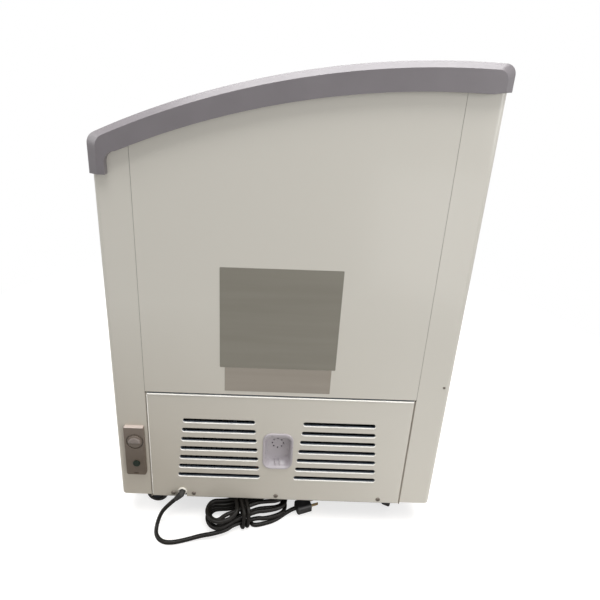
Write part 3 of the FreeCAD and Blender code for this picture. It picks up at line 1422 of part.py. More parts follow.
trouble = False
for thing in doc.Objects:
    bad = [word for word in thing.State if word in ("Invalid", "Error")]
    if bad:
        print("object", thing.Name, thing.Label, thing.State)
        trouble = True
os.makedirs("parts", exist_ok=True)
for thing in nodes:
    shape = thing.Shape
    if shape.isNull() or not shape.isValid() or not shape.Solids:
        print("shape", thing.Label, "null" if shape.isNull() else shape.ShapeType)
        trouble = True
        continue
    shape.exportStep(f"parts/{thing.Label}.step")
print(len(nodes), "nodes")
if trouble:
    raise SystemExit("some objects are not sound")
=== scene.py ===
import bmesh
import bpy
import json
import math
from mathutils import Matrix, Vector


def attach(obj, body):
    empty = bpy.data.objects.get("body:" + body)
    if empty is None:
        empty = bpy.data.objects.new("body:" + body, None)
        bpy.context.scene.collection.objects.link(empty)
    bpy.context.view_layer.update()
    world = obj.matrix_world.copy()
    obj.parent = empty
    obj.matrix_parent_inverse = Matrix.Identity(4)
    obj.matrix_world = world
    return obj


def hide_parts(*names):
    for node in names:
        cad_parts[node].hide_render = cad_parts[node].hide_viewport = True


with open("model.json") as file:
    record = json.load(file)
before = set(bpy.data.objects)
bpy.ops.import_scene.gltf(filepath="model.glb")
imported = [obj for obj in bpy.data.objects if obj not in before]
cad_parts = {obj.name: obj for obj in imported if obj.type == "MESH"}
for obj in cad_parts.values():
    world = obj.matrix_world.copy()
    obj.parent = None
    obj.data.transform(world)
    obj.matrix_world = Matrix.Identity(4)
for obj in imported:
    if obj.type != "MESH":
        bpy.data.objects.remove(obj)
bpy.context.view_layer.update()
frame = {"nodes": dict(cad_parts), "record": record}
nodes = frame["nodes"]
scene = bpy.context.scene
MM = 0.001

# places taken over from the part, in metres
END = 0.480
PLATE_FACE = 0.487
DIAL = (-0.282, 0.2015)
CORD_HOLE = (-0.193, 0.072)
SCREW_Z = 0.066
SCREWS = (-0.212, -0.1698, 0.0, 0.212)
CORD_RADIUS = 0.004
COVER_FLANK = 0.2545


def placed(name, data):
    """A new object in the scene."""
    thing = bpy.data.objects.new(name, data)
    scene.collection.objects.link(thing)
    return thing


# camera fitted to the photograph
CAMERA_AT = (1.1543, -0.0349, 0.852)
CAMERA_PITCH = math.radians(18.0)
CAMERA_ROLL = math.radians(1.94)


def make_camera():
    ahead = Vector((-math.cos(CAMERA_PITCH), 0, -math.sin(CAMERA_PITCH)))
    level_up = Vector((-math.sin(CAMERA_PITCH), 0, math.cos(CAMERA_PITCH)))
    level_right = Vector((0, 1, 0))
    right = level_right * math.cos(CAMERA_ROLL) + level_up * math.sin(CAMERA_ROLL)
    up = level_up * math.cos(CAMERA_ROLL) - level_right * math.sin(CAMERA_ROLL)
    data = bpy.data.cameras.new("camera")
    data.sensor_width = 36
    data.lens = 25.56
    data.shift_x = 0.054
    data.shift_y = -0.1073
    camera = placed("camera", data)
    turn = Matrix((right, up, -ahead)).transposed().to_4x4()
    camera.matrix_world = Matrix.Translation(CAMERA_AT) @ turn
    scene.camera = camera


make_camera()


# materials
def add_node(tree, kind, **sockets):
    node = tree.nodes.new(kind)
    for key, value in sockets.items():
        node.inputs[key.replace("_", " ")].default_value = value
    return node


def noise(tree, where, scale, detail, stretch):
    """A noise over the object's own coordinates, in cells per metre."""
    made = add_node(tree, "ShaderNodeTexNoise", Scale=scale, Detail=detail)
    if stretch:
        mapping = add_node(tree, "ShaderNodeMapping", Scale=stretch)
        tree.links.new(where, mapping.inputs["Vector"])
        where = mapping.outputs["Vector"]
    tree.links.new(where, made.inputs["Vector"])
    return made.outputs["Fac"]


def spread(tree, source, low, high, out_low, out_high):
    made = add_node(tree, "ShaderNodeMapRange")
    for index, value in enumerate((low, high, out_low, out_high), start=1):
        made.inputs[index].default_value = value
    tree.links.new(source, made.inputs[0])
    return made.outputs[0]


def combined(tree, operation, *sources):
    """One value from several, taken two by two."""
    whole = sources[0]
    for source in sources[1:]:
        made = tree.nodes.new("ShaderNodeMath")
        made.operation = operation
        tree.links.new(whole, made.inputs[0])
        tree.links.new(source, made.inputs[1])
        whole = made.outputs[0]
    return whole


def blend_colour(tree, factor, one, two):
    made = tree.nodes.new("ShaderNodeMix")
    made.data_type = "RGBA"
    tree.links.new(factor, made.inputs["Factor"])
    for socket, value in ((made.inputs[6], one), (made.inputs[7], two)):
        if isinstance(value, tuple):
            socket.default_value = (*value, 1)
        else:
            tree.links.new(value, socket)
    return made.outputs[2]


def bump(tree, height, strength, distance):
    made = add_node(tree, "ShaderNodeBump", Strength=strength, Distance=distance)
    tree.links.new(height, made.inputs["Height"])
    return made.outputs["Normal"]


def linear(red, green, blue):
    """A colour given as it looks on a screen, 0 to 255."""
    return tuple(
        part / 12.92 if part <= 0.04045 else ((part + 0.055) / 1.055) ** 2.4
        for part in (red / 255, green / 255, blue / 255))


def material(name, light, dark, rough, mottle, grain, depth, reach, stretch=None, **sockets):
    """Two shades mottled together, an uneven sheen and a fine relief."""
    made = bpy.data.materials.new(name)
    made.use_nodes = True
    tree = made.node_tree
    shader = tree.nodes["Principled BSDF"]
    where = add_node(tree, "ShaderNodeTexCoord").outputs["Object"]
    patches = noise(tree, where, mottle, 4.0, stretch)
    colour = blend_colour(tree, spread(tree, patches, 0.35, 0.65, 0, 1), dark, light)
    tree.links.new(colour, shader.inputs["Base Color"])
    sheen = noise(tree, where, mottle * 3, 3.0, stretch)
    tree.links.new(spread(tree, sheen, 0.3, 0.7, *rough), shader.inputs["Roughness"])
    fine = noise(tree, where, grain, 2.0, stretch)
    tree.links.new(bump(tree, fine, depth, reach), shader.inputs["Normal"])
    for key, value in sockets.items():
        shader.inputs[key.replace("_", " ")].default_value = value
    return made


def tinted(made, *layers):
    """Lays tints over a material: each has its colour and the spreads along axes that fade it."""
    tree = made.node_tree
    shader = tree.nodes["Principled BSDF"]
    split = tree.nodes.new("ShaderNodeSeparateXYZ")
    where = add_node(tree, "ShaderNodeTexCoord").outputs["Object"]
    tree.links.new(where, split.inputs[0])
    shade = shader.inputs["Base Color"].links[0].from_socket
    for colour, *fades in layers:
        factor = combined(tree, "MULTIPLY", *(spread(tree, split.outputs[axis], *ends)
                                              for axis, *ends in fades))
        shade = blend_colour(tree, factor, shade, colour)
    tree.links.new(shade, shader.inputs["Base Color"])
    return made


# tints: painted shade, darker and warmer towards the floor and the -Y side; painted shade on the
# cover's sheet behind its front face, in its slots and its top gap; and painted light on the
# control plate, lighter towards its top and brightest on its top face
PAINTED_LOW_SHADE = (linear(176, 168, 154), ("Z", 0.12, 0.50, 1.0, 0.0), ("Y", -0.30, 0.25, 0.9, 0.05))
PAINTED_BACK_SHADE = (linear(108, 116, 126), ("X", 0.4791, 0.4794, 1.0, 0.0),
          ("Y", -COVER_FLANK, -0.2535, 0.0, 1.0), ("Y", 0.2535, COVER_FLANK, 1.0, 0.0))
PAINTED_PLATE_LIGHT = (linear(116, 104, 94), ("Z", 0.150, 0.228, 0.0, 1.0))
PAINTED_PLATE_TOP_HIGHLIGHT = (linear(204, 190, 181), ("Z", 0.2333, 0.2339, 0.0, 1.0))


def enamel(name, *more):
    """Baked white enamel: slight orange peel, painted shade towards the floor and the -Y side, and
    other tints.
    """
    white = linear(214, 210, 200)
    made = material(name, white, white, (0.30, 0.30), mottle=3.0, grain=420.0, depth=0.04,
                    reach=0.0003, Coat_Weight=0.35, Coat_Roughness=0.12)
    return tinted(made, PAINTED_LOW_SHADE, *more)


def pane():
    """Clear glass that lets light through to what lies below it."""
    made = material("pane", (0.93, 0.97, 0.95), (0.90, 0.95, 0.93), (0.01, 0.05), mottle=9.0,
                    grain=20.0, depth=0.02, reach=0.0004, Transmission_Weight=1.0, IOR=1.45)
    tree = made.node_tree
    shader = tree.nodes["Principled BSDF"]
    out = tree.nodes["Material Output"]
    rays = tree.nodes.new("ShaderNodeLightPath")
    clear = add_node(tree, "ShaderNodeBsdfTransparent", Color=(0.9, 0.94, 0.92, 1))
    mix = tree.nodes.new("ShaderNodeMixShader")
    tree.links.new(rays.outputs["Is Shadow Ray"], mix.inputs[0])
    tree.links.new(shader.outputs[0], mix.inputs[1])
    tree.links.new(clear.outputs[0], mix.inputs[2])
    tree.links.new(mix.outputs[0], out.inputs["Surface"])
    return made


LOOKS = {
    "white_sheet": enamel("enamel"),
    "rim_plastic": material("rim", linear(126, 121, 124), linear(122, 117, 120), (0.30, 0.38),
                            mottle=20.0, grain=1600.0, depth=0.12, reach=0.0001),
    "lid_plastic": material("lid_frame", linear(120, 116, 119), linear(115, 111, 114), (0.34, 0.44),
                            mottle=24.0, grain=1600.0, depth=0.14, reach=0.0001),
    "lid_glass": pane(),
    # control plate: painted light, lighter towards its top, and a painted highlight on its top face
    "control_plastic": tinted(
        material("control", linear(93, 81, 68), linear(89, 77, 65), (0.36, 0.48), mottle=60.0,
                 grain=2600.0, depth=0.2, reach=0.0001), PAINTED_PLATE_LIGHT, PAINTED_PLATE_TOP_HIGHLIGHT),
    "knob_plastic": material("knob", linear(134, 124, 118), linear(127, 117, 111), (0.26, 0.34),
                             mottle=90.0, grain=2600.0, depth=0.15, reach=0.0001),
    "lamp_lens": material("lamp", linear(16, 34, 22), linear(12, 27, 17), (0.40, 0.50),
                          mottle=180.0, grain=900.0, depth=0.1, reach=0.0001,
                          Specular_IOR_Level=0.25),
    "cup_plastic": material("cup", linear(182, 176, 180), linear(176, 170, 174), (0.26, 0.36),
                            mottle=40.0, grain=2000.0, depth=0.14, reach=0.0001),
    "zinc_steel": material("zinc", (0.17, 0.18, 0.20), (0.12, 0.13, 0.15), (0.46, 0.62),
                           mottle=70.0, grain=1400.0, depth=0.1, reach=0.0001, Metallic=1.0),
    "liner_sheet": material("liner", (0.40, 0.41, 0.41), (0.37, 0.38, 0.38), (0.48, 0.58),
                            mottle=12.0, grain=700.0, depth=0.12, reach=0.0002, Metallic=0.25),
    "foam": material("foam", (0.80, 0.68, 0.40), (0.68, 0.55, 0.30), (0.85, 0.95), mottle=60.0,
                     grain=420.0, depth=0.6, reach=0.001),
    "copper": material("copper", (0.72, 0.36, 0.22), (0.52, 0.25, 0.16), (0.28, 0.5), mottle=120.0,
                       grain=900.0, depth=0.08, reach=0.0001, Metallic=1.0),
    "black_paint": material("black_paint", (0.024, 0.026, 0.030), (0.015, 0.017, 0.020),
                            (0.52, 0.66), mottle=40.0, grain=900.0, depth=0.15, reach=0.0002,
                            Specular_IOR_Level=0.15),
    "black_rubber": material("rubber", (0.030, 0.028, 0.026), (0.016, 0.015, 0.014), (0.55, 0.75),
                             mottle=90.0, grain=1500.0, depth=0.25, reach=0.0002),
    "cord_jacket": material("jacket", (0.0105, 0.0090, 0.0072), (0.0070, 0.0060, 0.0050),
                            (0.32, 0.46), mottle=80.0, grain=1100.0, depth=0.2, reach=0.0002,
                            Specular_IOR_Level=0.2),
    "white_plastic": material("nylon", linear(228, 224, 214), linear(216, 211, 200), (0.34, 0.46),
                              mottle=120.0, grain=1800.0, depth=0.12, reach=0.0001),
    "black_plastic": material("moulded_black", (0.034, 0.033, 0.032), (0.022, 0.021, 0.021),
                              (0.36, 0.5), mottle=90.0, grain=2200.0, depth=0.2, reach=0.0001),
    "hose_plastic": material("hose", (0.56, 0.56, 0.54), (0.48, 0.48, 0.46), (0.4, 0.55),
                             mottle=60.0, grain=1200.0, depth=0.15, reach=0.0002),
    "blade_brass": material("brass", (0.75, 0.56, 0.30), (0.60, 0.42, 0.22), (0.22, 0.4),
                            mottle=300.0, grain=1500.0, depth=0.1, reach=0.0001, Metallic=1.0),
}
LABEL = material("plate_foil", linear(137, 133, 122), linear(132, 128, 117), (0.36, 0.46),
                 mottle=16.0, grain=700.0, depth=0.1, reach=0.0001, stretch=(1, 0.2, 3))
STRIP = material("strip_film", linear(157, 149, 138), linear(152, 144, 133), (0.38, 0.5),
                 mottle=18.0, grain=900.0, depth=0.08, reach=0.0001, stretch=(1, 0.2, 3))
PRINT = material("dial_print", linear(44, 40, 38), linear(38, 34, 32), (0.45, 0.6), mottle=200.0,
                 grain=3000.0, depth=0.1, reach=0.0001)
# whiter than the enamel: painted highlight on the cover's edges and slot lips
PAINTED_HIGHLIGHT = material("lip_painted_highlight", linear(252, 250, 244), linear(249, 247, 240), (0.24, 0.30),
               mottle=30.0, grain=420.0, depth=0.03, reach=0.0003)
SCREW = material("screw_zinc", linear(132, 124, 114), linear(106, 99, 91), (0.42, 0.56),
                 mottle=300.0, grain=1400.0, depth=0.1, reach=0.0001, Metallic=0.6)
# fill for the cover's side seams, coloured as their painted shade
SEAM_FILL_SHADE = material("seam_fill_shade", linear(172, 164, 152), linear(164, 156, 145), (0.6, 0.75), mottle=60.0,
                  grain=900.0, depth=0.1, reach=0.0001)
SHADOW = material("seam_bead", (0.10, 0.10, 0.095), (0.07, 0.07, 0.066), (0.6, 0.75), mottle=90.0,
                  grain=1200.0, depth=0.1, reach=0.0001)

for row in frame["record"]["subparts"]:
    shown = nodes[row["node"]].data
    shown.materials.clear()
    shown.materials.append(LOOKS[row["material_slot"]])
# painted shade on the cover's sheet behind its front face: its slots' inward lips and top flange
# are darkened, fading out at the cover's sides
nodes["machine_cover"].data.materials[0] = enamel("cover_enamel", PAINTED_BACK_SHADE)

# pieces
TURNED_SHARP = math.radians(40)
LOFT_SHARP = math.radians(35)
CORNER_STEPS = 6


def piece(name, data, look, body="cabinet"):
    thing = placed(name, data)
    data.materials.append(look)
    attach(thing, body)
    return thing


def mesh_of(name, verts, faces, smooth=False):
    mesh = bpy.data.meshes.new(name)
    mesh.from_pydata(verts, [], faces)
    mesh.update()
    for face in mesh.polygons:
        face.use_smooth = smooth
    return mesh


def ring_faces(count, rings):
    """Faces between rings that have the same count of points."""
    faces = []
    for ring in range(rings - 1):
        for step in range(count):
            after = (step + 1) % count
            faces.append((ring * count + step, ring * count + after,
                          (ring + 1) * count + after, (ring + 1) * count + step))
    return faces


def end_faces(count, rings):
    """Faces that close the first and the last ring."""
    return [tuple(reversed(range(count))), tuple(range((rings - 1) * count, rings * count))]


def turned(name, profile, root, along, count=40):
    """A turned form: (radius, distance along the axis) pairs in millimetres, closed at its ends."""
    turn = Vector((0, 0, 1)).rotation_difference(Vector(along).normalized())
    verts = []
    for radius, distance in profile:
        for step in range(count):
            angle = 2 * math.pi * step / count
            spot = Vector((radius * MM * math.cos(angle), radius * MM * math.sin(angle),
                           distance * MM))
            verts.append(Vector(root) + turn @ spot)
    faces = ring_faces(count, len(profile)) + end_faces(count, len(profile))
    mesh = mesh_of(name, verts, faces, smooth=True)
    mesh.set_sharp_from_angle(angle=TURNED_SHARP)
    return mesh


def loft(name, loops):
    """A moulded form: outlines (y, z) at steps of X from the end panel, in millimetres."""
    count = len(loops[0][1])
    verts = [((END / MM + x) * MM, y * MM, z * MM) for x, rim in loops for y, z in rim]
    faces = end_faces(count, len(loops)) + ring_faces(count, len(loops))
    mesh = mesh_of(name, verts, faces, smooth=True)
    mesh.set_sharp_from_angle(angle=LOFT_SHARP)
    return mesh


def block(x0, x1, y0, y1, z0, z1):
    return loft("block", [(x, [(y1, z1), (y0, z1), (y0, z0), (y1, z0)]) for x in (x0, x1)])


def round_rim(low, high, corner):
    """Outline of a rectangle with round corners between two places (y, z)."""
    rim = []
    for number, (y, z) in enumerate(((high[0], high[1]), (low[0], high[1]), (low[0], low[1]),
                                     (high[0], low[1]))):
        mid_y = y - math.copysign(corner, y - (low[0] + high[0]) / 2)
        mid_z = z - math.copysign(corner, z - (low[1] + high[1]) / 2)
        for step in range(CORNER_STEPS + 1):
            turn = math.radians(90 * number + 90 * step / CORNER_STEPS)
            rim.append((mid_y + corner * math.cos(turn), mid_z + corner * math.sin(turn)))
    return rim


def joined(name, *meshes):
    together = bmesh.new()
    for mesh in meshes:
        together.from_mesh(mesh)
    whole = bpy.data.meshes.new(name)
    together.to_mesh(whole)
    together.free()
    return whole


def cut(mesh, tool_mesh):
    """The first mesh less the second one."""
    work = placed("cut_work", mesh)
    tool = placed("cut_tool", tool_mesh)
    sink = work.modifiers.new("cut", "BOOLEAN")
    sink.object = tool
    sink.operation = "DIFFERENCE"
    sink.use_self = True
    shape = bpy.data.meshes.new_from_object(
        work.evaluated_get(bpy.context.evaluated_depsgraph_get()))
    bpy.data.objects.remove(work)
    bpy.data.objects.remove(tool)
    return shape


# power cord on one line, from the gland's nose through the hank to the plug
NOSE = Vector((0.1, -0.72, -0.686)).normalized()
NOSE_ROOT = Vector((0.488, *CORD_HOLE))
NOSE_LONG = 0.018
EXIT_RUN = 0.030
# free loop, in millimetres of the frame
FREE_LOOP = ((496, -238, 22), (508, -243, 7), (525, -240, 4.3), (538, -226, 4.3), (540, -206, 4.3),
             (533, -178, 4.4), (526, -149, 8))
# hank, in millimetres along it, across it and up from the floor under its middle
HANK_TURN = math.radians(109)
ALONG = Vector((math.cos(HANK_TURN), math.sin(HANK_TURN), 0))
ACROSS = Vector((ALONG.y, -ALONG.x, 0))
HANK_AT = Vector((0.476, -0.068, 0))
LANES = (28, -23.2, 18.4, -23.2, 28, -23.2, 18.4, -23.2, 28)
LEVELS = (12.9, 12.9, 21.7, 21.7, 30.5, 30.5, 39.3, 39.3)
LOW, HIGH = LEVELS[0], LEVELS[-1]
LEFT, RIGHT = -50, 68
LEAD_IN = 19.6
WAIST_DRAW = 7
SLACK = (0, 3, 8, 9, 3, 9, 9, 6)
OUTER, INNER = 40.5, 25.5
FOLD_ANGLES = (67.5, 22.5, -22.5, -67.5)
FOLD_HALF_STEP = math.radians(22.5)
# tie round the hank's waist, and the tail from it to the plug
TIE_LEAD = ((-42, 28, 39.3), (-32, 27, 40.2), (-15.35, 21.6, 47.9))
WRAPS = 3
WRAP_POINTS = 3
WRAP_STEP = 30
WRAP_LONG = 26.7
WRAP_ROOM = 8.6
WRAP_LEFT_OUT = 2
TAIL = ((18, 29, 4.3), (34, 31, 4.3), (62, 31, 4.3), (89, 22, 4.3), (105, 22, 10.3),
        (113, 22, 10.3))


def hank_spot(u, v, z):
    return HANK_AT + (ALONG * u + ACROSS * v + Vector((0, 0, z))) * MM


def cord_route():
    start = NOSE_ROOT + NOSE * NOSE_LONG
    spots = [start, start + NOSE * EXIT_RUN]
    spots += [Vector(spot) * MM for spot in FREE_LOOP]
    spots.append(hank_spot(LEFT - LEAD_IN, LANES[0], LOW))
    for number, lane in enumerate(LANES[:-1]):
        ahead = 1 if number % 2 == 0 else -1
        before = LEVELS[max(number - 1, 0)]
        after = LEVELS[number]
        drawn = lane - math.copysign(WAIST_DRAW + SLACK[number] / 3, lane)
        loose = lane - math.copysign(SLACK[number], lane)
        spots += [hank_spot(-OUTER * ahead, loose, before),
                  hank_spot(-INNER * ahead, drawn, before),
                  hank_spot(INNER * ahead, drawn, after),
                  hank_spot(OUTER * ahead, loose, after)]
        following = LANES[number + 1]
        centre = (lane + following) / 2
        far = abs(lane - following) / 2 / math.cos(FOLD_HALF_STEP)
        end = RIGHT if ahead > 0 else LEFT
        side = 1 if lane > following else -1
        for angle in FOLD_ANGLES:
            turn = math.radians(angle)
            spots.append(hank_spot(end + ahead * far * math.cos(turn),
                                   centre + side * far * math.sin(turn), after))
    spots += [hank_spot(*spot) for spot in TIE_LEAD]
    high_side = LANES[0] - WAIST_DRAW
    low_side = LANES[1] + WAIST_DRAW
    corners = ((low_side, HIGH, 90), (low_side, LOW, 180), (high_side, LOW, 270),
               (high_side, HIGH, 360))
    count = (WRAPS * len(corners) - 1) * WRAP_POINTS
    far = WRAP_ROOM / math.cos(math.radians(WRAP_STEP / 2))
    for number in range(count - WRAP_LEFT_OUT):
        lane, level, first = corners[number // WRAP_POINTS % len(corners)]
        turn = math.radians(first + WRAP_STEP / 2 + WRAP_STEP * (number % WRAP_POINTS))
        u = WRAP_LONG * ((number + 0.5) / count - 0.5)
        spots.append(hank_spot(u, lane + far * math.cos(turn), level + far * math.sin(turn)))
    spots += [hank_spot(*spot) for spot in TAIL]
    return spots


def make_cord():
    route = cord_route()
    line = bpy.data.curves.new("power_cord", "CURVE")
    line.dimensions = "3D"
    line.bevel_depth = CORD_RADIUS
    line.bevel_resolution = 5
    line.resolution_u = 8
    line.use_fill_caps = True
    spline = line.splines.new("NURBS")
    spline.points.add(len(route) - 1)
    for point, spot in zip(spline.points, route):
        point.co = (*spot, 1)
    spline.order_u = 3
    spline.use_endpoint_u = True
    thing = piece("power_cord", line, LOOKS["cord_jacket"])
    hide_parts("cord_free", "cord_hank", "cord_tail")
    return thing, route[0]


cord, cord_exit = make_cord()

# gland: a white bushing in the cover and a dark elbow whose ribbed nose tapers towards the cord
BUSHING = [(7.9, -11.9), (7.9, 0), (8.8, 0), (9.3, 0.7), (9.1, 1.9), (8.4, 2.7), (7.4, 3.0),
           (6.6, 2.6), (6.3, 1.6), (6.2, -1.0)]
ELBOW = [(5.9, -6.0), (5.9, 4.6), (5.6, 6.8), (4.7, 9.2), (3.2, 11.0), (1.4, 11.9), (0.3, 12.1)]
NOSE_START = [(4.2, -3.0), (5.4, -1.5), (5.8, 0.5), (5.8, 2.6)]
NOSE_TIP = [(4.4, 17.2), (4.3, 18.0)]
RIBS = 4
RIB_FIRST, RIB_PITCH = 3.2, 3.4
RIB_SIZE, RIB_TAPER, RIB_DEEP = 5.7, 0.28, 0.7


def make_gland():
    hole = Vector((END, *CORD_HOLE))
    bushing = turned("cord_bushing", BUSHING, hole, (1, 0, 0))
    elbow = turned("elbow", ELBOW, hole, (1, 0, 0))
    taper = list(NOSE_START)
    for rib in range(RIBS):
        at = RIB_FIRST + rib * RIB_PITCH
        size = RIB_SIZE - rib * RIB_TAPER
        neck = size - RIB_DEEP
        taper += [(neck, at), (neck, at + 1.0), (size, at + 1.3), (size, at + 3.1)]
    nose = turned("nose", taper + NOSE_TIP, NOSE_ROOT, NOSE)
    bush = piece("cord_bushing", bushing, LOOKS["white_plastic"])
    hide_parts("cord_gland")
    relief = piece("cord_relief", joined("cord_relief", elbow, nose), LOOKS["black_rubber"])
    return [bush, relief]


make_gland()


# bare plates on the end panel
def film(name, low, high, thick, corner, look):
    """A thin film with round corners on the end panel, between two places (y, z)."""
    rim = round_rim(low, high, corner)
    verts = [(x, y, z) for x in (END, END + thick) for y, z in rim]
    faces = end_faces(len(rim), 2) + ring_faces(len(rim), 2)
    piece(name, mesh_of(name, verts, faces), look)


film("blank_plate", (-0.1150, 0.3745), (0.0987, 0.5735), 0.0004, 0.0015, LABEL)
film("blank_strip", (-0.1060, 0.3225), (0.0920, 0.3740), 0.0003, 0.0008, STRIP)

# screws with a crossed recess, in millimetres
SCREW_PROFILE = [(1.9, -9), (1.9, 0), (4.5, 0), (4.5, 0.7), (4.1, 1.4), (3.1, 2.0), (1.6, 2.2)]
HEAD_TOP = 2.2
RECESS_HALVES = ((0.45, 2.6), (2.6, 0.45))
RECESS_DEEP = 2.4
SPIN_FIRST, SPIN_STEP = 20, 37


def make_screws():
    one = turned("screw", SCREW_PROFILE, (END, 0, SCREW_Z), (1, 0, 0), 32)
    blades = bmesh.new()
    for half in RECESS_HALVES:
        made = bmesh.ops.create_cube(blades, size=1)["verts"]
        bmesh.ops.scale(blades, verts=made,
                        vec=(RECESS_DEEP * MM, 2 * half[0] * MM, 2 * half[1] * MM))
        bmesh.ops.translate(blades, verts=made, vec=(END + HEAD_TOP * MM, 0, SCREW_Z))
    recess = bpy.data.meshes.new("recess")
    blades.to_mesh(recess)
    blades.free()
    shape = cut(one, recess)
    middle = Matrix.Translation((END, 0, SCREW_Z))
    heads = []
    for number, y in enumerate(SCREWS):
        head = shape.copy()
        spin = Matrix.Rotation(math.radians(SPIN_FIRST + SPIN_STEP * number), 4, "X")
        head.transform(Matrix.Translation((0, y, 0)) @ middle @ spin @ middle.inverted())
        heads.append(head)
    thing = piece("cover_screw_heads", joined("cover_screw_heads", *heads), SCREW)
    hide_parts("cover_screws")


make_screws()

# blind rivet in the rear corner sheet
RIVET_PROFILE = [(1.6, -2), (1.6, 0), (2.6, 0), (2.4, 0.4), (1.7, 0.8), (1.0, 0.9), (0.9, 0.4)]
RIVET_AT = (END, 0.3055, 0.3445)
piece("corner_rivet", turned("corner_rivet", RIVET_PROFILE, RIVET_AT, (1, 0, 0), 24), SCREW)

# scale round the dial: ticks and wedges that swell clockwise, in degrees and metres
PRINT_SUNK = 0.0012
PRINT_THICK = 0.00012
TICKS = 7
TICK_FIRST, TICK_PITCH, TICK_HALF = -150, 50, 1.8
TICK_RADII = (0.0150, 0.0171)
WEDGES = ((-140, -60, (0.0156, 0.0158), (0.0156, 0.0168)),
          (60, 140, (0.0156, 0.0168), (0.0156, 0.0170)))


def make_scale():
    face = PLATE_FACE - PRINT_SUNK
    verts = []
    faces = []

    def patch(turn0, turn1, radii0, radii1, steps):
        first = len(verts)
        for step in range(steps + 1):
            share = step / steps
            turn = math.radians(turn0 + (turn1 - turn0) * share)
            for start, stop in zip(radii0, radii1):
                radius = start + (stop - start) * share
                for level in (0, PRINT_THICK):
                    verts.append((face + level, DIAL[0] + radius * math.sin(turn),
                                  DIAL[1] + radius * math.cos(turn)))
        for step in range(steps):
            a = first + 4 * step
            b = a + 4
            faces.append((a + 1, a + 3, b + 3, b + 1))
            faces.append((a, a + 1, b + 1, b))
            faces.append((a + 2, b + 2, b + 3, a + 3))
            faces.append((a, b, b + 2, a + 2))
        last = first + 4 * steps
        faces.append((first, first + 2, first + 3, first + 1))
        faces.append((last, last + 1, last + 3, last + 2))

    for tick in range(TICKS):
        middle = TICK_FIRST + TICK_PITCH * tick
        patch(middle - TICK_HALF, middle + TICK_HALF, TICK_RADII, TICK_RADII, 2)
    for wedge in WEDGES:
        patch(*wedge, 16)
    piece("dial_scale", mesh_of("dial_scale", verts, faces), PRINT)


make_scale()

# dark beads in the seams between the corner sheets and the end panels, a painted shadow in these
# gaps, and mid-tone fill beads in the cover's side seams that paint the seams' shade as a thin line
SIDES = ((-1, "front"), (1, "rear"))
SEAM_DEPTHS = (0.0010, 0.0006)
SEAM_Y = (0.25745, 0.25795)
SEAM_LOWS = {"machine": 0.3148, "far": 0.0605}
SEAM_TOPS = {"front": 0.778, "rear": 0.884}
SEAM_FILL_X = (0.4735, 0.4790)
SEAM_FILL_Y = (0.2566, 0.25795)
SEAM_FILL_Z = (0.0535, 0.3112)


def bead(name, xs, ys, zs, look):
    verts = [(x, y, z) for x in sorted(xs) for y in sorted(ys) for z in zs]
    faces = [(0, 1, 3, 2), (4, 6, 7, 5), (0, 4, 5, 1), (2, 3, 7, 6), (0, 2, 6, 4), (1, 5, 7, 3)]
    piece(name, mesh_of(name, verts, faces), look)


for end, label in ((END, "machine"), (-END, "far")):
    for hand, word in SIDES:
        bead(f"seam_bead_{label}_{word}", [end - math.copysign(deep, end) for deep in SEAM_DEPTHS],
             [hand * y for y in SEAM_Y], (SEAM_LOWS[label], SEAM_TOPS[word]), SHADOW)
for hand, word in SIDES:
    bead(f"cover_bead_{word}", SEAM_FILL_X, [hand * y for y in SEAM_FILL_Y], SEAM_FILL_Z, SEAM_FILL_SHADE)

# beads on the cover's upper edge, its front side and under its slots, whiter than the enamel: a
# painted highlight along these edges, in millimetres
EDGE_X = END - 0.0002
TOP_EDGE = [(0.3, -254.5), (1.4, -252), (1.4, 252), (0.3, 254.5)]
TOP_EDGE_Z = 0.3094
SIDE_EDGE = [(0.2, 60), (0.8, 62), (0.8, 306), (0.2, 308)]
SLOT_ROWS = 7
SLOT_FIRST, SLOT_PITCH = 115.5, 22.45
SLOT_OUTSIDE, OUTSIDE_DRAW = 200, 13
SLOT_INSIDE, INSIDE_GROWTH = 35, 12.5
SLOT_HALF = 3.8
LIP_OUT = 1.0
LIP_RADIUS = 1.25
LIP_LEAST = 0.15
LIP_STEPS = 8
LIP_CORNERS = 8


def make_edges():
    top = turned("cover_edge", TOP_EDGE, (EDGE_X, 0, TOP_EDGE_Z), (0, 1, 0), 16)
    front = turned("cover_side", SIDE_EDGE, (EDGE_X, -COVER_FLANK, 0), (0, 0, 1), 12)
    piece("cover_edge", joined("cover_edge", top, front), PAINTED_HIGHLIGHT)


def slot_lip(level, near, far):
    """A bead under one slot that tapers out round its two ends."""
    reach = SLOT_HALF + LIP_OUT
    first, last = near + SLOT_HALF, far - SLOT_HALF
    line = []
    for centre, start in ((first, 180), (last, 270)):
        for step in range(LIP_STEPS + 1):
            turn = math.radians(start + 90 * step / LIP_STEPS)
            line.append((centre + reach * math.cos(turn), level + reach * math.sin(turn), turn))
    verts = []
    for y, z, turn in line:
        radius = LIP_RADIUS * max(LIP_LEAST, -math.sin(turn))
        for corner in range(LIP_CORNERS):
            angle = 2 * math.pi * corner / LIP_CORNERS
            out = radius * math.cos(angle)
            verts.append((END + radius * math.sin(angle) * MM, (y + out * math.cos(turn)) * MM,
                          (z + out * math.sin(turn)) * MM))
    count = LIP_CORNERS
    faces = [tuple(range(count)), tuple(reversed(range(len(verts) - count, len(verts))))]
    for ring in range(len(line) - 1):
        for corner in range(count):
            after = (corner + 1) % count
            faces.append((ring * count + corner, (ring + 1) * count + corner,
                          (ring + 1) * count + after, ring * count + after))
    return mesh_of("slot_lip", verts, faces, smooth=True)


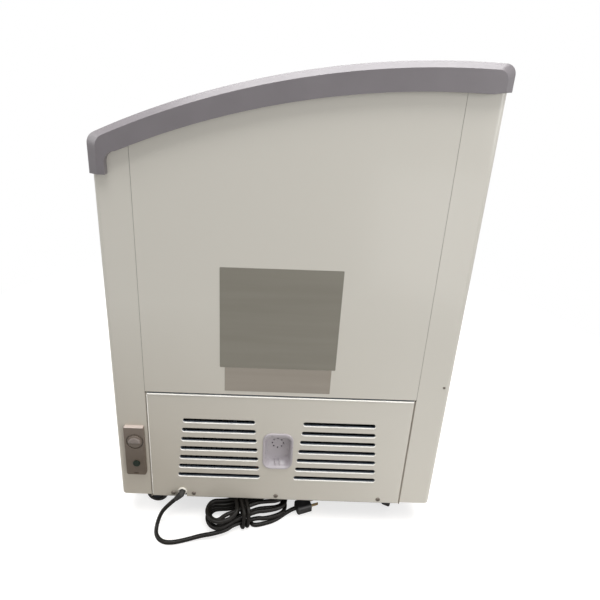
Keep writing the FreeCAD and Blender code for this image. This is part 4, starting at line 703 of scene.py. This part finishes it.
def make_lips():
    lips = []
    for row in range(SLOT_ROWS):
        rise = row / (SLOT_ROWS - 1)
        level = SLOT_FIRST + SLOT_PITCH * row
        outside = SLOT_OUTSIDE - OUTSIDE_DRAW * rise
        inside = SLOT_INSIDE + INSIDE_GROWTH * rise
        lips += [slot_lip(level, -outside, -inside), slot_lip(level, inside, outside)]
    piece("slot_lips", joined("slot_lips", *lips), PAINTED_HIGHLIGHT)


make_edges()
make_lips()

# outlet cup with a strainer in its back wall
CUP_HALF = 30
CUP_LOW, CUP_HIGH = 139, 226
CUP_CORNER, CUP_CORNER_LEAST = 17, 4
STRAINER_HOLES = 8
STRAINER_RING = 0.011
STRAINER_X, STRAINER_Z = END - 0.0165, 0.1885
STRAINER_HOLE = [(1.75, -3), (1.75, 3)]
CUP_RIBS = (-4, 4)
CUP_RIB_HALF = 0.7


def make_cup():
    def rim(inset, low=0.0, high=0.0):
        return round_rim((-CUP_HALF + inset, CUP_LOW + inset + low),
                         (CUP_HALF - inset, CUP_HIGH - inset - high),
                         max(CUP_CORNER - inset, CUP_CORNER_LEAST))

    shell = loft("outlet_cup", [
        (-17.5, rim(5.5, 0, 5)), (0.0, rim(3.6, 0, 5)), (0.02, rim(0)), (1.5, rim(0.1)),
        (2.3, rim(0.7)), (2.6, rim(1.6)), (2.4, rim(2.6, 0, 1.5)), (1.5, rim(3.6, 0, 3.5)),
        (0.0, rim(4.6, 0, 5)), (-1.6, rim(5.2, 0, 5)), (-10.5, rim(6.2, 2, 5)),
        (-14.0, rim(7.6, 5, 5)), (-15.5, rim(10.5, 8, 5))])
    holes = []
    for number in range(STRAINER_HOLES):
        turn = math.radians(360 / STRAINER_HOLES * number)
        place = (STRAINER_X, STRAINER_RING * math.cos(turn),
                 STRAINER_Z + STRAINER_RING * math.sin(turn))
        holes.append(turned("hole", STRAINER_HOLE, place, (1, 0, 0), 20))
    shell = cut(shell, joined("holes", *holes))
    shell.set_sharp_from_angle(angle=LOFT_SHARP)
    ribs = [block(-13.5, -1.5, y - CUP_RIB_HALF, y + CUP_RIB_HALF, 144.5, 151.5) for y in CUP_RIBS]
    cup = piece("outlet_cup", joined("outlet_cup", shell, *ribs), LOOKS["cup_plastic"])
    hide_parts("drain_cup")


make_cup()

# dial: a round base with a ribbed rim, and a half-round grip on it
KNURLS = 24
DISC_STEPS = 96
GRIP_STEPS = 40
GRIP_DROP = 1.5


def make_knob():
    middle = Vector(DIAL) / MM

    def disc(radius, ribs=0.0):
        return [(middle.x + (radius + ribs * math.cos(KNURLS * turn)) * math.cos(turn),
                 middle.y + (radius + ribs * math.cos(KNURLS * turn)) * math.sin(turn))
                for turn in (2 * math.pi * step / DISC_STEPS for step in range(DISC_STEPS))]

    def half(radius, inset):
        arc = [math.pi * step / GRIP_STEPS for step in range(GRIP_STEPS + 1)]
        return [(middle.x + (radius - inset) * math.cos(turn),
                 middle.y - GRIP_DROP + inset + (radius - 2 * inset) * math.sin(turn))
                for turn in arc]

    base = loft("dial_base", [(6.1, disc(14.0, 0.25)), (7.7, disc(14.0, 0.25)),
                              (8.3, disc(13.6, 0.2)), (8.6, disc(12.9))])
    grip = loft("dial_grip", [(8.5, half(12.2, 0)), (10.2, half(12.0, 0)), (11.0, half(11.7, 0.5)),
                              (11.5, half(11.4, 1.3))])
    foot = piece("dial_base", base, LOOKS["control_plastic"], "dial")
    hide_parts("thermostat_knob")
    # the grip takes a lighter plastic than the base, which has the plate's colour: painted light on
    # the knob's raised half
    piece("dial_grip", grip, LOOKS["knob_plastic"], "dial")


make_knob()

# studio
FLOOR_HALF = 12
FLOOR_Z = -0.0002
FLOOR_GLOW = 0.68
FLOOR_FADE = (0.7, 1.3)
FAR_FLOOR_LIGHT = 0.42
WORLD_LIGHT = 0.35
WHITE = (1, 1, 1, 1)
# name, place, point that it aims at, size and power
LAMPS = (
    ("overhead", (0.2, 0.1, 3.2), (0, 0, 0.6), 3.0, 170),
    ("front_soft", (2.2, 2.2, 1.2), (0.3, 0, 0.5), 1.4, 21),
    ("low_soft", (1.5, 0.7, 0.30), (0.48, 0.12, 0.12), 0.6, 1.2),
    ("side_soft", (0.2, -3.2, 1.8), (0, 0, 0.5), 2.0, 38),
    ("rear_soft", (-2.4, 2.6, 2.0), (0, 0, 0.5), 2.0, 24))


def make_floor():
    """A pale floor that keeps shadows near the object and is plain white further out."""
    corners = [(-FLOOR_HALF, -FLOOR_HALF, 0), (FLOOR_HALF, -FLOOR_HALF, 0),
               (FLOOR_HALF, FLOOR_HALF, 0), (-FLOOR_HALF, FLOOR_HALF, 0)]
    floor = placed("floor", mesh_of("floor", corners, [(0, 1, 2, 3)]))
    floor.location.z = FLOOR_Z
    made = bpy.data.materials.new("floor")
    made.use_nodes = True
    tree = made.node_tree
    tree.nodes.remove(tree.nodes["Principled BSDF"])
    rays = tree.nodes.new("ShaderNodeLightPath")
    base = add_node(tree, "ShaderNodeBsdfDiffuse", Color=(0.50, 0.485, 0.465, 1))
    glow = add_node(tree, "ShaderNodeEmission", Color=WHITE)
    tree.links.new(spread(tree, rays.outputs["Is Camera Ray"], 0, 1, 0, FLOOR_GLOW),
                   glow.inputs["Strength"])
    both = tree.nodes.new("ShaderNodeAddShader")
    tree.links.new(base.outputs[0], both.inputs[0])
    tree.links.new(glow.outputs[0], both.inputs[1])
    far = tree.nodes.new("ShaderNodeVectorMath")
    far.operation = "LENGTH"
    tree.links.new(add_node(tree, "ShaderNodeTexCoord").outputs["Object"], far.inputs[0])
    white = add_node(tree, "ShaderNodeEmission", Color=WHITE)
    tree.links.new(spread(tree, rays.outputs["Is Camera Ray"], 0, 1, FAR_FLOOR_LIGHT, 1.0),
                   white.inputs["Strength"])
    fade = tree.nodes.new("ShaderNodeMixShader")
    tree.links.new(spread(tree, far.outputs["Value"], *FLOOR_FADE, 0, 1), fade.inputs[0])
    tree.links.new(both.outputs[0], fade.inputs[1])
    tree.links.new(white.outputs[0], fade.inputs[2])
    tree.links.new(fade.outputs[0], tree.nodes["Material Output"].inputs["Surface"])
    floor.data.materials.append(made)


def make_world():
    """White to the camera, in metal and through glass, and a softer light on the object."""
    world = bpy.data.worlds.new("studio")
    scene.world = world
    world.use_nodes = True
    tree = world.node_tree
    back = tree.nodes["Background"]
    back.inputs["Color"].default_value = WHITE
    rays = tree.nodes.new("ShaderNodeLightPath").outputs
    seen = combined(tree, "MAXIMUM", rays["Is Camera Ray"], rays["Is Glossy Ray"],
                    rays["Is Transmission Ray"])
    tree.links.new(spread(tree, seen, 0, 1, WORLD_LIGHT, 1.0), back.inputs["Strength"])


def make_lamps():
    for name, place, aim, size, power in LAMPS:
        lamp = bpy.data.lights.new(name, "AREA")
        lamp.energy = power
        lamp.size = size
        thing = placed(name, lamp)
        thing.location = place
        thing.rotation_euler = (Vector(aim) - Vector(place)).to_track_quat("-Z", "Y").to_euler()


make_floor()
make_world()
make_lamps()
scene.view_settings.view_transform = "Standard"

bpy.context.view_layer.update()
